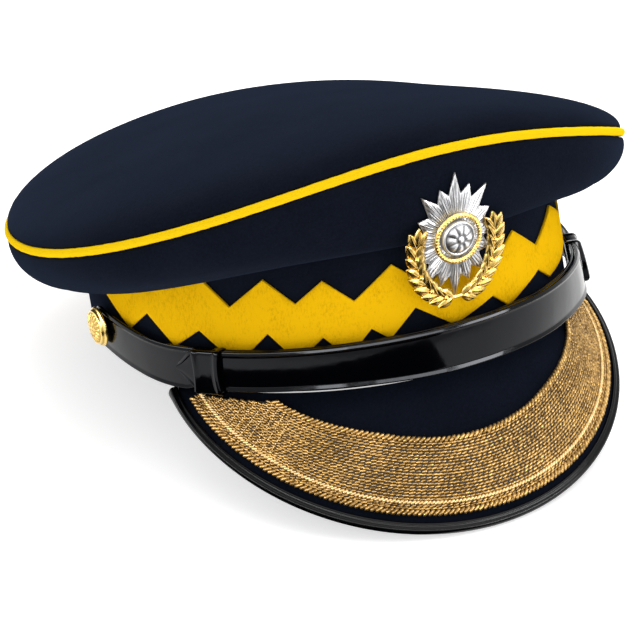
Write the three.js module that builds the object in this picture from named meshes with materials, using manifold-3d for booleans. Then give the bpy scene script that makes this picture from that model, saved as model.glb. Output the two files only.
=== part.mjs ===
// Forage cap with a raised front, a cloth-covered peak with gold lace, and a patent chin strap.
// Millimetres, +Z up, the wearer's front towards -Y and the wearer's left towards +X.
// The cap is shaped with its head band level. It is then tipped back as a whole until the rim of
// the peak and the rear edge of the band stand on the floor.

import * as THREE from 'three';
import { mergeVertices } from 'three/addons/utils/BufferGeometryUtils.js';
import Module from 'manifold-3d';

const wasm = await Module();
wasm.setup();

const degrees = THREE.MathUtils.degToRad;

// Clearances and fineness
const GAP = 0.3;
const TURN_STEPS = 56;
const PEAK_STEPS = 26;
const CORD_SIDES = 6;
const PIPING_SIDES = 8;
const FLATTENED = 0.6;

// Head band, about 600 mm round on the outside
const BAND_HALF_WIDTH = 87;
const BAND_HALF_LENGTH = 103.5;
const BAND_HEIGHT = 50;
const BAND_FRONT_STAY = 12;
const STAY_SHARPNESS = 3;
const BAND_ARCH = 5.5;
const ARCH_SHARPNESS = 10;
const BAND_WALL = 2.4;
// Ahead of the wearer's left button the band leans in, the most at its top
const PRESS_AT_TOP = 2.9;
const PRESS_AT_FOOT = -0.8;
const PRESS_FROM = degrees(28);
const PRESS_FULL = degrees(58);
const PRESS_BACK_FROM = degrees(60);
const PRESS_BACK_TO = degrees(87);

// Zigzag felt round the head band
const FELT_THICKNESS = 0.8;
const TIP_HEIGHT = 40;
const VALLEY_HEIGHT = 31;
const NOTCH_HEIGHT = 21.5;
const LOW_HEIGHT = 16.2;
const BACK_TEETH = 16;
// Long straight edges get extra steps this many degrees away from any corner
const CORNER_APART = 3;
// Upper edge across the front: turn of each tip in degrees from the front and its height, then the
// turn and height of the valley after it
const UPPER_TEETH = [
  { tipTurn: -70, tip: 40, dipTurn: -62, dip: 36 },
  { tipTurn: -53, tip: 40, dipTurn: -47, dip: 30 },
  { tipTurn: -39, tip: 39.3, dipTurn: -33, dip: 30.6 },
  { tipTurn: -27, tip: 37.6, dipTurn: -21, dip: 29.8 },
  { tipTurn: -12.5, tip: 40, dipTurn: -5, dip: 31 },
  { tipTurn: 3, tip: 40, dipTurn: 11, dip: 31 },
  { tipTurn: 18.5, tip: 40, dipTurn: 27, dip: 31 },
  { tipTurn: 37, tip: 40.6, dipTurn: 52, dip: 31 },
];
// Lower edge across the front: the same for each notch and the low point after it
const LOWER_TEETH = [
  { tipTurn: -104, tip: 34, dipTurn: -91, dip: 33.5 },
  { tipTurn: -90, tip: 34, dipTurn: -76, dip: 17 },
  { tipTurn: -69, tip: 24.7, dipTurn: -62, dip: 14.3 },
  { tipTurn: -55, tip: 21.2, dipTurn: -47, dip: 10 },
  { tipTurn: -39.5, tip: 20.8, dipTurn: -34, dip: 11 },
  { tipTurn: -28.2, tip: 18.6, dipTurn: -23.5, dip: 11 },
  { tipTurn: -18.2, tip: 19.8, dipTurn: -14.5, dip: 15.4 },
  { tipTurn: -8.5, tip: 24.3, dipTurn: 0, dip: 15.5 },
  { tipTurn: 10.5, tip: 21, dipTurn: 15, dip: 15.5 },
  { tipTurn: 27, tip: 22.4, dipTurn: 32.5, dip: 17 },
  { tipTurn: 62, tip: 21.5, dipTurn: 69, dip: 16.2 },
];

// Crown: its piped edge in plan, and the waves that make up the height of that edge. A wave's
// height is the same on both sides, and its lean is up on one side and down on the other.
const CROWN_HALF_WIDTH = 113.3;
const CROWN_HALF_LENGTH = 120.5;
const CROWN_SHIFT_BACK = 4.5;
const CROWN_EGG = 0.016;
const CORNER_FULLNESS = 0.026;
const CROWN_WALL = 1.8;
const EDGE_WAVES = [
  { order: 0, height: 55.7, lean: 0 },
  { order: 1, height: 8.5, lean: 0.2 },
  { order: 2, height: 10.3, lean: -1.4 },
  { order: 3, height: 0.4, lean: 0.8 },
  { order: 4, height: 0.6, lean: 0 },
];
const DOME_RISE = 22.8;
const DOME_ROUNDNESS = 1.6;
const DOME_SHOULDER = 0.48;
// Rings of the top's two faces, as shares of the way from its centre to its edge
const DOME_OUTER_RINGS = [0.18, 0.36, 0.53, 0.68, 0.8, 0.89, 0.945, 0.98, 1];
const DOME_INNER_RINGS = [0.95, 0.85, 0.68, 0.46, 0.22];
// The side's roll hangs deeper across the front
const ROLL_DEPTH_FRONT = 17.5;
const ROLL_DEPTH_BACK = 22.5;
const ROLL_DROOP = 12.5;
const DROOP_SPREAD = degrees(35);
// Angles round the roll of the side's two faces, from level at the piping to straight down at the hem
const ROLL_OUTER_ANGLES = [5, 14, 28, 42, 55, 67, 78];
const ROLL_INNER_ANGLES = [75, 60, 45, 30, 15];
// The cloth swells out under the piping at the sides and back, as far round the roll as this
const ROLL_SWELL = 1.5;
const SWELL_FROM_FRONT = degrees(20);
const SWELL_FULL = degrees(50);
const SWELL_TO = 55;
const SWELL_SHARPNESS = 0.35;
const SEAM_STANDOFF = FELT_THICKNESS + 2 * GAP;
const SEAM_OVERLAP = 4;
const SEAM_LEVEL = 25;
const PIPING_RADIUS = 1.5;
const GROOVE_RADIUS = PIPING_RADIUS + GAP;

// Peak: its rim is half an ellipse in plan on a plane that slopes down to the front
const PEAK_HALF_WIDTH = 83.5;
const PEAK_LENGTH = 77;
const PEAK_CENTRE = -49.2;
const PEAK_HINGE = -46;
const PEAK_SLOPE = 0.588;
const PEAK_SPREAD = degrees(91);
const RIM_TUCK = 1.2;
const TUCK_SHARPNESS = 12;
const PEAK_THICKNESS = 2;
const PEAK_ROWS = 4;
const ROOT_SPREAD = degrees(62.5);
const ROOT_CROWDING = 1.25;
const ROOT_OUTWARD = -1.2;
const ROOT_HEIGHT = -0.5;
const BINDING_WIDTH = 3.6;
const BINDING_WALL = 0.9;
const BINDING_ROUNDING = 0.7;

// Gold lace on the peak, measured in from the rim
const LACE_FROM_RIM = 7.9;
const LACE_WIDTH = 21.6;
const LACE_THICKNESS = 1;
const LACE_ROWS = 3;
const LACE_TAPER = 3.5;
const TAPER_FROM = 0.3;
const TAPER_TO = 0.7;
const LACE_SPREAD = 0.92;
const LACE_ROOT_CLEARANCE = 3.5;
const CORD_RADIUS = 0.8;
const CORD_INNER_SPREAD = 0.66;

// Chin strap in two layers, its keepers and its buttons
const STRAP_BOTTOM = 1.5;
const OUTER_STRAP_WIDTH = 15.6;
const INNER_STRAP_WIDTH = 14;
// A strap narrows towards its point, by this much off half its width
const POINT_TAPER = 0.8;
const POINT_TAPER_TO = degrees(35);
// Width of each strap at its button, and where it changes to that. The inner one
// does so past the keeper.
const OUTER_END_WIDTH = 13.4;
const INNER_END_WIDTH = 15.3;
const OUTER_END_FROM = degrees(42);
const INNER_END_FROM = degrees(55.6);
const INNER_END_BY = degrees(59.4);
// On the wearer's left the strap stands off the band, its lower edge the furthest
const STRAP_STANDOFF = 0.6;
const STRAP_FLARE = 0.9;
const FLARE_FROM = degrees(34);
const FLARE_TO = degrees(54);
const FLARE_BACK_FROM = degrees(67);
const FLARE_BACK_TO = degrees(80);
const STRAP_RISE = 7;
const STRAP_SAG = 1.4;
const SAG_DEEPEST = degrees(60);
const RISE_FROM = degrees(61);
const RISE_TO = degrees(93);
const INNER_STRAP_OUTWARD = 2.6;
const INNER_STRAP_THICKNESS = 1.2;
const OUTER_STRAP_OUTWARD = 4.1;
const OUTER_STRAP_THICKNESS = 1.5;
const STRAP_BEAD_WIDTH = 1.4;
const STRAP_BEAD_HEIGHT = 0.4;
const STRAP_STEPS = 36;
const STRAP_END_STEPS = 6;
const STRAP_END_FROM = 8;
const STRAP_END_TO = 82;
const STRAP_POINT_LENGTH = 7;
const STRAP_POINT_WIDTH = 2;
const OUTER_STRAP_POINT = degrees(-60);
const INNER_STRAP_POINT = degrees(70.5);
const BUTTON_TURN = degrees(85.3);
const SETTLE_FROM = degrees(71.5);
const SETTLE_TO = degrees(81);
const KEEPER_WIDTH = 11.2;
const KEEPER_WALL = 1;
const KEEPER_ROUNDING = 0.8;
const KEEPER_TURNS = [
  { side: 'right', turn: degrees(-52.1) },
  { side: 'left', turn: degrees(62.2) },
];
const BUTTON_BELOW_EDGE = 6.7;
const BUTTON_RADIUS = 7.2;
const BUTTON_EDGE = 1.4;
const BUTTON_DOME = 3;
const SHANK_RADIUS = 1.5;
const SHANK_HOLE_SIDES = 12;
const BUTTON_SIDES = 16;
const DOME_LAST_ANGLE = 75;
const DOME_STEPS = 3;

// Badge: a rayed silver plate with a boss, a gilt ring and two gilt leaf sprays
const BADGE_HEIGHT = 47;
const BADGE_LEAN = degrees(11.5);
const BADGE_OUTWARD = 6.4;
const BADGE_BEND_RADIUS = 115;
const STAR_HALF_WIDTH = 16.5;
const STAR_HALF_HEIGHT = 21.5;
const STAR_RAYS = 16;
const STAR_SHORT_RAY = 0.84;
const STAR_VALLEY = 0.66;
const STAR_EDGE = 0.7;
const STAR_RIDGE = 2.4;
const BOSS_RADIUS = 6;
const BOSS_RISE = 3;
const BOSS_SIDES = 20;
const RING_RADIUS = 7.8;
const RING_TUBE = 1;
const RING_TUBE_SIDES = 6;
const SPRAY_HALF_WIDTH = 14.5;
const SPRAY_HALF_HEIGHT = 17.5;
const SPRAY_DROP = 3.5;
const SPRAY_LEAVES = 6;
const SPRAY_FROM = degrees(4);
const SPRAY_TO = degrees(98);
const STEM_TO = degrees(102);
const SPRAY_OUTWARD = 2;
const STEM_RADIUS = 0.7;
const LEAF_LENGTH = 6.4;
const LEAF_HALF_WIDTH = 1.7;
const LEAF_HALF_DEPTH = 0.8;
const LEAF_SPREAD = degrees(26);

// Floor slab that presses the soft edges flat, and the steepest tilt that is tried
const SLAB_WIDTH = 400;
const SLAB_DEPTH = 40;
const STEEPEST_TILT = degrees(40);
const TILT_HALVINGS = 40;
const SMALL_STEP = 0.01;

// Materials
const COLOURS = {
  navy: { color: 0x171c29, roughness: 0.95, metalness: 0 },
  yellow: { color: 0xf2bd12, roughness: 0.9, metalness: 0 },
  patent: { color: 0x0b0b0d, roughness: 0.15, metalness: 0 },
  gold: { color: 0xb98f4a, roughness: 0.45, metalness: 0.8 },
  gilt: { color: 0xd9a437, roughness: 0.25, metalness: 1 },
  silver: { color: 0xb9bcc0, roughness: 0.3, metalness: 1 },
};

// Closed solid through a row of loops. A ring joins its last loop to its first.
// Otherwise each end is closed by a point given for it, or by a flat cap.
function loopSolid(loops, { ring = false, firstPoint = null, lastPoint = null } = {}) {
  const size = loops[0].length;
  const points = loops.flat();
  const faces = [];
  const rows = ring ? loops.length : loops.length - 1;
  for (let row = 0; row < rows; row += 1) {
    const here = row * size;
    const there = ((row + 1) % loops.length) * size;
    for (let column = 0; column < size; column += 1) {
      const next = (column + 1) % size;
      faces.push(here + column, here + next, there + next);
      faces.push(here + column, there + next, there + column);
    }
  }
  if (!ring) {
    closeEnd(points, faces, loops[0], 0, firstPoint, true);
    closeEnd(points, faces, loops.at(-1), (loops.length - 1) * size, lastPoint, false);
  }
  return outwardGeometry(points, faces);
}

// Middle of a loop of points.
function middleOf(loop) {
  return loop.reduce((sum, point) => sum.add(point), new THREE.Vector3()).divideScalar(loop.length);
}

// Closed solid through a row of loops with plain ends, each fanned from its middle.
function runSolid(loops) {
  return loopSolid(loops, { firstPoint: middleOf(loops[0]), lastPoint: middleOf(loops.at(-1)) });
}

// Adds the faces that close one end of a row of loops.
function closeEnd(points, faces, loop, offset, point, reversed) {
  let triangles = [];
  if (point) {
    const centre = points.length - offset;
    points.push(point);
    triangles = loop.map((_, index) => [index, (index + 1) % loop.length, centre]);
  } else {
    triangles = flatTriangles(loop);
  }
  for (const [a, b, c] of triangles) {
    const ordered = reversed ? [a, c, b] : [a, b, c];
    faces.push(...ordered.map((index) => index + offset));
  }
}

// Triangles of a flat loop, all turning the same way as the loop itself.
function flatTriangles(loop) {
  const normal = new THREE.Vector3();
  loop.forEach((point, index) => {
    normal.add(new THREE.Vector3().crossVectors(point, loop[(index + 1) % loop.length]));
  });
  normal.normalize();
  const axis = new THREE.Vector3().subVectors(loop[1], loop[0]).normalize();
  const side = new THREE.Vector3().crossVectors(normal, axis);
  const flat = loop.map((point) => new THREE.Vector2(point.dot(axis), point.dot(side)));
  return THREE.ShapeUtils.triangulateShape(flat, []).map(([a, b, c]) => {
    const area = THREE.ShapeUtils.area([flat[a], flat[b], flat[c]]);
    return area > 0 ? [a, b, c] : [a, c, b];
  });
}

// Indexed geometry whose faces point out of the solid.
function outwardGeometry(points, faces) {
  let volume = 0;
  for (let index = 0; index < faces.length; index += 3) {
    const [a, b, c] = [0, 1, 2].map((step) => points[faces[index + step]]);
    volume += a.dot(new THREE.Vector3().crossVectors(b, c));
  }
  if (volume < 0) {
    faces.reverse();
  }
  const geometry = new THREE.BufferGeometry().setFromPoints(points);
  geometry.setIndex(faces);
  return geometry;
}

// Solid for joining and cutting, from a closed geometry.
function solidOf(geometry) {
  const bare = geometry.clone();
  bare.deleteAttribute('normal');
  bare.deleteAttribute('uv');
  const merged = mergeVertices(bare);
  return new wasm.Manifold(new wasm.Mesh({
    numProp: 3,
    vertProperties: new Float32Array(merged.attributes.position.array),
    triVerts: new Uint32Array(merged.index.array),
  }));
}

// Geometry of a joined or cut solid.
function geometryOf(solid) {
  const mesh = solid.getMesh();
  const geometry = new THREE.BufferGeometry();
  geometry.setAttribute('position', new THREE.BufferAttribute(mesh.vertProperties, 3));
  geometry.setIndex(new THREE.BufferAttribute(mesh.triVerts, 1));
  return geometry;
}

// Even steps from one value to another, both ends included.
function steps(from, to, count) {
  return Array.from({ length: count + 1 }, (_, index) => from + ((to - from) * index) / count);
}

// Even turns round a whole circle, in radians.
function turnsRound(count) {
  return Array.from({ length: count }, (_, index) => (2 * Math.PI * index) / count);
}

// Even turns round the whole head, starting at the front.
function allTurns() {
  return turnsRound(TURN_STEPS);
}

// Direction straight out from the head band at a turn.
function bandNormal(turn) {
  const x = Math.sin(turn) / BAND_HALF_WIDTH;
  const y = -Math.cos(turn) / BAND_HALF_LENGTH;
  return new THREE.Vector3(x, y, 0).normalize();
}

// How far in the band's wall leans at a turn and a height.
function bandPress(turn, height) {
  const ahead = THREE.MathUtils.smoothstep(turn, PRESS_FROM, PRESS_FULL);
  const behind = THREE.MathUtils.smoothstep(turn, PRESS_BACK_FROM, PRESS_BACK_TO);
  return ahead * (1 - behind) * THREE.MathUtils.lerp(PRESS_AT_FOOT, PRESS_AT_TOP, height / BAND_HEIGHT);
}

// Point at a turn round the head band, a distance out from its outer face.
function bandPoint(turn, outward, height) {
  const x = BAND_HALF_WIDTH * Math.sin(turn) - bandPress(turn, height);
  const y = -BAND_HALF_LENGTH * Math.cos(turn);
  return new THREE.Vector3(x, y, height).addScaledVector(bandNormal(turn), outward);
}

// Millimetres round the head band for each radian of turn.
function bandRate(turn) {
  return Math.hypot(BAND_HALF_WIDTH * Math.cos(turn), BAND_HALF_LENGTH * Math.sin(turn));
}

// How far forward a turn faces, from 0 at the back to 1 at the front.
function frontness(turn) {
  return (1 + Math.cos(turn)) / 2;
}

// Height of the band's top edge, which stands up at the front to hold the crown.
function bandTop(turn) {
  return BAND_HEIGHT + BAND_FRONT_STAY * frontness(turn) ** STAY_SHARPNESS;
}

// Height of the band's bottom edge, which arches up over the ears.
function bandBottom(turn) {
  return BAND_ARCH * Math.sin(turn) ** ARCH_SHARPNESS;
}

// Head band: a wall all round.
function headBand() {
  const loops = allTurns().map((turn) => [
    bandPoint(turn, 0, bandBottom(turn)),
    bandPoint(turn, 0, bandTop(turn)),
    bandPoint(turn, -BAND_WALL, bandTop(turn)),
    bandPoint(turn, -BAND_WALL, bandBottom(turn)),
  ]);
  return loopSolid(loops, { ring: true });
}

// Corners of one zigzag edge in order of turn: the table's teeth, then even teeth round the back.
function toothCorners(table, high, low) {
  const corners = [];
  for (const { tipTurn, tip, dipTurn, dip } of table) {
    corners.push({ turn: degrees(tipTurn), height: tip });
    corners.push({ turn: degrees(dipTurn), height: dip });
  }
  const start = corners.at(-1).turn;
  const pitch = (corners[0].turn + 2 * Math.PI - start) / (BACK_TEETH + 0.5);
  for (let tooth = 0; tooth < BACK_TEETH; tooth += 1) {
    corners.push({ turn: start + (tooth + 0.5) * pitch, height: high });
    corners.push({ turn: start + (tooth + 1) * pitch, height: low });
  }
  return corners;
}

// Height of a zigzag edge at a turn, on the straight line between its corners.
function edgeHeight(corners, turn) {
  const first = corners[0].turn;
  const wrapped = first + THREE.MathUtils.euclideanModulo(turn - first, 2 * Math.PI);
  const last = { turn: first + 2 * Math.PI, height: corners[0].height };
  const closed = [...corners, last];
  const after = Math.max(1, closed.findIndex((corner) => corner.turn >= wrapped - 1e-9));
  const [from, to] = [closed[after - 1], closed[after]];
  return THREE.MathUtils.mapLinear(wrapped, from.turn, to.turn, from.height, to.height);
}

// Zigzag felt: a thin wall whose two edges follow the zigzags.
function zigzagBand() {
  const upper = toothCorners(UPPER_TEETH, TIP_HEIGHT, VALLEY_HEIGHT);
  const lower = toothCorners(LOWER_TEETH, NOTCH_HEIGHT, LOW_HEIGHT);
  const turns = [...upper, ...lower].map((corner) => corner.turn);
  const around = turns.map((turn) => THREE.MathUtils.euclideanModulo(turn, 2 * Math.PI));
  const between = allTurns().filter((turn) => (
    around.every((corner) => Math.abs(turn - corner) > degrees(CORNER_APART))
  ));
  around.push(...between);
  around.sort((a, b) => a - b);
  const apart = around.filter((turn, index) => index === 0 || turn - around[index - 1] > 1e-4);
  const outer = GAP + FELT_THICKNESS;
  const loops = apart.map((turn) => [
    bandPoint(turn, outer, edgeHeight(lower, turn)),
    bandPoint(turn, outer, edgeHeight(upper, turn)),
    bandPoint(turn, GAP, edgeHeight(upper, turn)),
    bandPoint(turn, GAP, edgeHeight(lower, turn)),
  ]);
  return loopSolid(loops, { ring: true });
}

// Height that the crown's edge waves give at a share of the way from its centre to its edge.
function waveHeight(turn, share) {
  let height = 0;
  for (const wave of EDGE_WAVES) {
    const swing = wave.height * Math.cos(wave.order * turn) + wave.lean * Math.sin(wave.order * turn);
    height += swing * share ** wave.order;
  }
  return height;
}

// Centre of the piping at a turn.
function edgePoint(turn) {
  const fullness = 1 - CORNER_FULLNESS * Math.cos(4 * turn);
  const x = CROWN_HALF_WIDTH * fullness * Math.sin(turn) * (1 + CROWN_EGG * Math.cos(turn));
  const y = CROWN_SHIFT_BACK - CROWN_HALF_LENGTH * fullness * Math.cos(turn);
  return new THREE.Vector3(x, y, waveHeight(turn, 1));
}

// Upright section through the band and the piping at a turn.
function crownSection(turn) {
  const foot = bandPoint(turn, 0, SEAM_LEVEL);
  const edge = edgePoint(turn);
  const away = new THREE.Vector3(edge.x - foot.x, edge.y - foot.y, 0);
  const reach = away.length();
  away.normalize();
  const place = (outward, height) => foot.clone().addScaledVector(away, outward).setZ(height);
  const groove = (angle) => place(
    reach + GROOVE_RADIUS * Math.cos(degrees(angle)),
    edge.z + GROOVE_RADIUS * Math.sin(degrees(angle)),
  );
  return { reach, edge, place, groove };
}

// Point on the crown's top. The inner face is the outer one moved in and down by the cloth's wall.
function domePoint(turn, share, wall) {
  const edge = edgePoint(turn);
  const inset = 1 - wall / CROWN_HALF_WIDTH;
  const x = edge.x * share * inset;
  const y = CROWN_SHIFT_BACK + (edge.y - CROWN_SHIFT_BACK) * share * inset;
  const dome = DOME_RISE * Math.max(0, 1 - share ** DOME_ROUNDNESS) ** DOME_SHOULDER;
  return new THREE.Vector3(x, y, waveHeight(turn, share) + GROOVE_RADIUS + dome - wall);
}

// Crown top: a domed cloth shell whose edge is folded in behind the piping.
function crownTop() {
  const turns = allTurns();
  const sections = turns.map(crownSection);
  const lip = GROOVE_RADIUS + CROWN_WALL;
  const loops = [
    ...DOME_OUTER_RINGS.map((share) => turns.map((turn) => domePoint(turn, share, 0))),
    sections.map((section) => section.groove(135)),
    sections.map((section) => section.place(section.reach - GROOVE_RADIUS, section.edge.z + GAP / 2)),
    sections.map((section) => section.place(section.reach - lip, section.edge.z + GAP / 2)),
    ...DOME_INNER_RINGS.map((share) => turns.map((turn) => domePoint(turn, share, CROWN_WALL))),
  ];
  return loopSolid(loops, {
    firstPoint: domePoint(0, 0, 0),
    lastPoint: domePoint(0, 0, CROWN_WALL),
  });
}

// Turn from the front, the shorter way round.
function fromFront(turn) {
  return Math.abs(THREE.MathUtils.euclideanModulo(turn + Math.PI, 2 * Math.PI) - Math.PI);
}

// Depth of the side's roll below the piping.
function rollDepth(turn) {
  const depth = THREE.MathUtils.lerp(ROLL_DEPTH_BACK, ROLL_DEPTH_FRONT, frontness(turn));
  return depth + ROLL_DROOP * Math.exp(-((fromFront(turn) / DROOP_SPREAD) ** 2));
}

// How far the cloth swells out at an angle round the roll.
function rollSwell(turn, angle) {
  const share = Math.min(angle / SWELL_TO, 1);
  const swell = Math.max(Math.sin(Math.PI * share), 0) ** SWELL_SHARPNESS;
  return ROLL_SWELL * swell * THREE.MathUtils.smoothstep(fromFront(turn), SWELL_FROM_FRONT, SWELL_FULL);
}

// One section of the crown's side: out from behind the piping, down and round the roll, and up the
// band to the seam. The inner face follows it back.
function rollLoop(turn) {
  const { reach, edge, place, groove } = crownSection(turn);
  const top = edge.z - GROOVE_RADIUS;
  const hem = edge.z - rollDepth(turn);
  const seam = Math.max(bandTop(turn), hem + SEAM_OVERLAP);
  const drop = top - hem;
  const outerReach = reach - SEAM_STANDOFF;
  const innerReach = outerReach - 2 * CROWN_WALL;
  const outerRoll = ROLL_OUTER_ANGLES.map((angle) => place(
    SEAM_STANDOFF + outerReach * Math.cos(degrees(angle)) + rollSwell(turn, angle),
    top - drop * Math.sin(degrees(angle)),
  ));
  const innerRoll = ROLL_INNER_ANGLES.map((angle) => place(
    SEAM_STANDOFF + CROWN_WALL + innerReach * Math.cos(degrees(angle)),
    top - (drop - CROWN_WALL) * Math.sin(degrees(angle)),
  ));
  return [
    place(reach - GROOVE_RADIUS, edge.z - GAP / 2),
    groove(225),
    groove(270),
    ...outerRoll,
    place(SEAM_STANDOFF, hem),
    place(SEAM_STANDOFF, seam),
    place(SEAM_STANDOFF + CROWN_WALL, seam),
    place(SEAM_STANDOFF + CROWN_WALL, hem + CROWN_WALL),
    ...innerRoll,
    place(reach - GROOVE_RADIUS - CROWN_WALL, edge.z - GAP / 2),
  ];
}

// Crown side: the cloth roll all round.
function crownSide() {
  return loopSolid(allTurns().map(rollLoop), { ring: true });
}

// Piping: a round cord along the crown's edge.
function crownPiping() {
  const loops = allTurns().map((turn) => {
    const { reach, edge, place } = crownSection(turn);
    return turnsRound(PIPING_SIDES).map((angle) => place(
      reach + PIPING_RADIUS * Math.cos(angle),
      edge.z + PIPING_RADIUS * Math.sin(angle),
    ));
  });
  return loopSolid(loops, { ring: true });
}

// Point on the rim of the peak; across runs from -1 on the wearer's right to 1 on the left.
// The ends of the rim turn in under the chin strap.
function rimPoint(across) {
  const turn = across * PEAK_SPREAD;
  const tuck = RIM_TUCK * across ** TUCK_SHARPNESS;
  const x = PEAK_HALF_WIDTH * Math.sin(turn) - Math.sign(across) * tuck;
  const y = PEAK_CENTRE - PEAK_LENGTH * Math.cos(turn);
  return new THREE.Vector3(x, y, PEAK_SLOPE * (y - PEAK_HINGE));
}

// Point where the peak is sewn under the front edge of the band, which keeps its oval there.
function rootPoint(across) {
  const turn = Math.sign(across) * Math.abs(across) ** ROOT_CROWDING * ROOT_SPREAD;
  const root = bandPoint(turn, ROOT_OUTWARD, ROOT_HEIGHT);
  return root.setX(root.x + bandPress(turn, ROOT_HEIGHT));
}

// Length of the peak from root to rim at one place across it.
function peakLength(across) {
  return rimPoint(across).distanceTo(rootPoint(across));
}

// Point on the peak's upper face, a distance in from the rim and lifted off the face.
function peakPoint(across, fromRim, lift) {
  const inward = new THREE.Vector3().subVectors(rootPoint(across), rimPoint(across)).normalize();
  const share = fromRim / peakLength(across);
  const ahead = rimPoint(across + SMALL_STEP).lerp(rootPoint(across + SMALL_STEP), share);
  const behind = rimPoint(across - SMALL_STEP).lerp(rootPoint(across - SMALL_STEP), share);
  const normal = ahead.sub(behind).cross(inward).normalize();
  return rimPoint(across).addScaledVector(inward, fromRim).addScaledVector(normal, lift);
}

// Loops that follow the peak, from a section of distances in from the rim and lifts.
function alongPeak(spread, sectionAt) {
  return steps(-spread, spread, PEAK_STEPS).map((across) => (
    sectionAt(across).map(([fromRim, lift]) => peakPoint(across, fromRim, lift))
  ));
}

// Peak: a thin curved board.
function peakBoard() {
  const edge = BINDING_WALL + GAP;
  return runSolid(alongPeak(1, (across) => {
    const length = peakLength(across);
    const upper = steps(edge, length, PEAK_ROWS).map((fromRim) => [fromRim, 0]);
    const lower = steps(length, edge, PEAK_ROWS).map((fromRim) => [fromRim, -PEAK_THICKNESS]);
    return [...upper, ...lower];
  }));
}

// Binding: a folded strip over the rim of the peak.
function peakBinding() {
  const slotTop = GAP;
  const slotBottom = -PEAK_THICKNESS - GAP;
  const top = slotTop + BINDING_WALL;
  const bottom = slotBottom - BINDING_WALL;
  return loopSolid(alongPeak(1, () => [
    [BINDING_WIDTH, slotTop],
    [BINDING_WIDTH, top],
    [BINDING_ROUNDING, top],
    [0, slotTop],
    [0, slotBottom],
    [BINDING_ROUNDING, bottom],
    [BINDING_WIDTH, bottom],
    [BINDING_WIDTH, slotBottom],
    [BINDING_WALL, slotBottom],
    [BINDING_WALL, slotTop],
  ]));
}

// Width of the lace between its cords, less towards its ends.
function laceWidth(across) {
  const taper = THREE.MathUtils.smoothstep(Math.abs(across), TAPER_FROM, TAPER_TO);
  return LACE_WIDTH - LACE_TAPER * taper;
}

// How far in from the rim the lace reaches at one place across the peak.
function laceEnd(across) {
  return Math.min(LACE_FROM_RIM + laceWidth(across), peakLength(across) - LACE_ROOT_CLEARANCE);
}

// Lace: a flat woven strip on the peak, its ends running in under the chin strap.
function peakLace() {
  return runSolid(alongPeak(LACE_SPREAD, (across) => {
    const places = steps(LACE_FROM_RIM, laceEnd(across), LACE_ROWS);
    const upper = places.map((fromRim) => [fromRim, GAP + LACE_THICKNESS]);
    const lower = places.map((fromRim) => [fromRim, GAP]);
    return [...upper, ...lower.reverse()];
  }));
}

// Twisted cord along one edge of the lace.
function laceCord(spread, fromRimAt) {
  return runSolid(alongPeak(spread, (across) => turnsRound(CORD_SIDES).map((angle) => [
    fromRimAt(across) + CORD_RADIUS * Math.cos(angle),
    GAP + CORD_RADIUS + CORD_RADIUS * Math.sin(angle),
  ])));
}

// How far the strap has climbed towards its button at a turn, less its sag over the peak's ends.
function strapRise(turn) {
  const climb = STRAP_RISE * THREE.MathUtils.smoothstep(Math.abs(turn), RISE_FROM, RISE_TO);
  return climb - STRAP_SAG * Math.sin((turn * Math.PI) / (2 * SAG_DEEPEST)) ** 2;
}

// Height of the upper edge of the straps at a turn.
function strapTop(turn) {
  return STRAP_BOTTOM + OUTER_STRAP_WIDTH + strapRise(turn);
}

// Half the width of a strap at a turn; way is 1 if it points to the wearer's left, or -1.
function strapHalf(width, endWidth, way, turn) {
  const toPoint = THREE.MathUtils.smoothstep(way * turn, 0, POINT_TAPER_TO);
  const endBy = way > 0 ? INNER_END_BY : BUTTON_TURN;
  const endFrom = way > 0 ? INNER_END_FROM : OUTER_END_FROM;
  const toButton = THREE.MathUtils.smoothstep(-way * turn, endFrom, endBy);
  return THREE.MathUtils.lerp(width / 2 - POINT_TAPER * toPoint, endWidth / 2, toButton);
}

// Point on a strap. On the wearer's left it stands further off the band.
function strapPoint(turn, outward, height) {
  const lifted = THREE.MathUtils.smoothstep(turn, FLARE_FROM, FLARE_TO);
  const back = THREE.MathUtils.smoothstep(turn, FLARE_BACK_FROM, FLARE_BACK_TO);
  const below = (strapTop(turn) - height) / OUTER_STRAP_WIDTH;
  return bandPoint(turn, outward + lifted * (1 - back) * (STRAP_STANDOFF + STRAP_FLARE * below), height);
}

// Stations along a strap from its rounded button end to its point, with its middle and half width.
function strapStations(buttonTurn, pointTurn, width, endWidth) {
  const way = Math.sign(pointTurn - buttonTurn);
  const stations = [];
  const add = (turn, share) => {
    const half = strapHalf(width, endWidth, way, turn);
    stations.push({ turn, half: half * share, middle: strapTop(turn) - half });
  };
  for (const angle of steps(STRAP_END_FROM, STRAP_END_TO, STRAP_END_STEPS)) {
    const beyond = (endWidth / 2) * Math.cos(degrees(angle));
    add(buttonTurn - (way * beyond) / bandRate(buttonTurn), Math.sin(degrees(angle)));
  }
  const pointStart = pointTurn - (way * STRAP_POINT_LENGTH) / bandRate(pointTurn);
  for (const turn of steps(buttonTurn, pointStart, STRAP_STEPS)) {
    add(turn, 1);
  }
  add(pointTurn, STRAP_POINT_WIDTH / width);
  return stations;
}

// Strap through its stations. Beads stand up along both edges of the outer face.
function strap(stations, outwardAt, thickness) {
  const bead = Math.min(STRAP_BEAD_HEIGHT, thickness / 3);
  const loops = stations.map(({ turn, half, middle }) => {
    const back = outwardAt(turn);
    const front = back + thickness;
    const flat = Math.max(half - STRAP_BEAD_WIDTH, half / 3);
    const crest = (half + flat) / 2;
    return [
      strapPoint(turn, back, middle - half),
      strapPoint(turn, front - bead, middle - half),
      strapPoint(turn, front, middle - crest),
      strapPoint(turn, front - bead, middle - flat),
      strapPoint(turn, front - bead, middle + flat),
      strapPoint(turn, front, middle + crest),
      strapPoint(turn, front - bead, middle + half),
      strapPoint(turn, back, middle + half),
    ];
  });
  return runSolid(loops);
}

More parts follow.
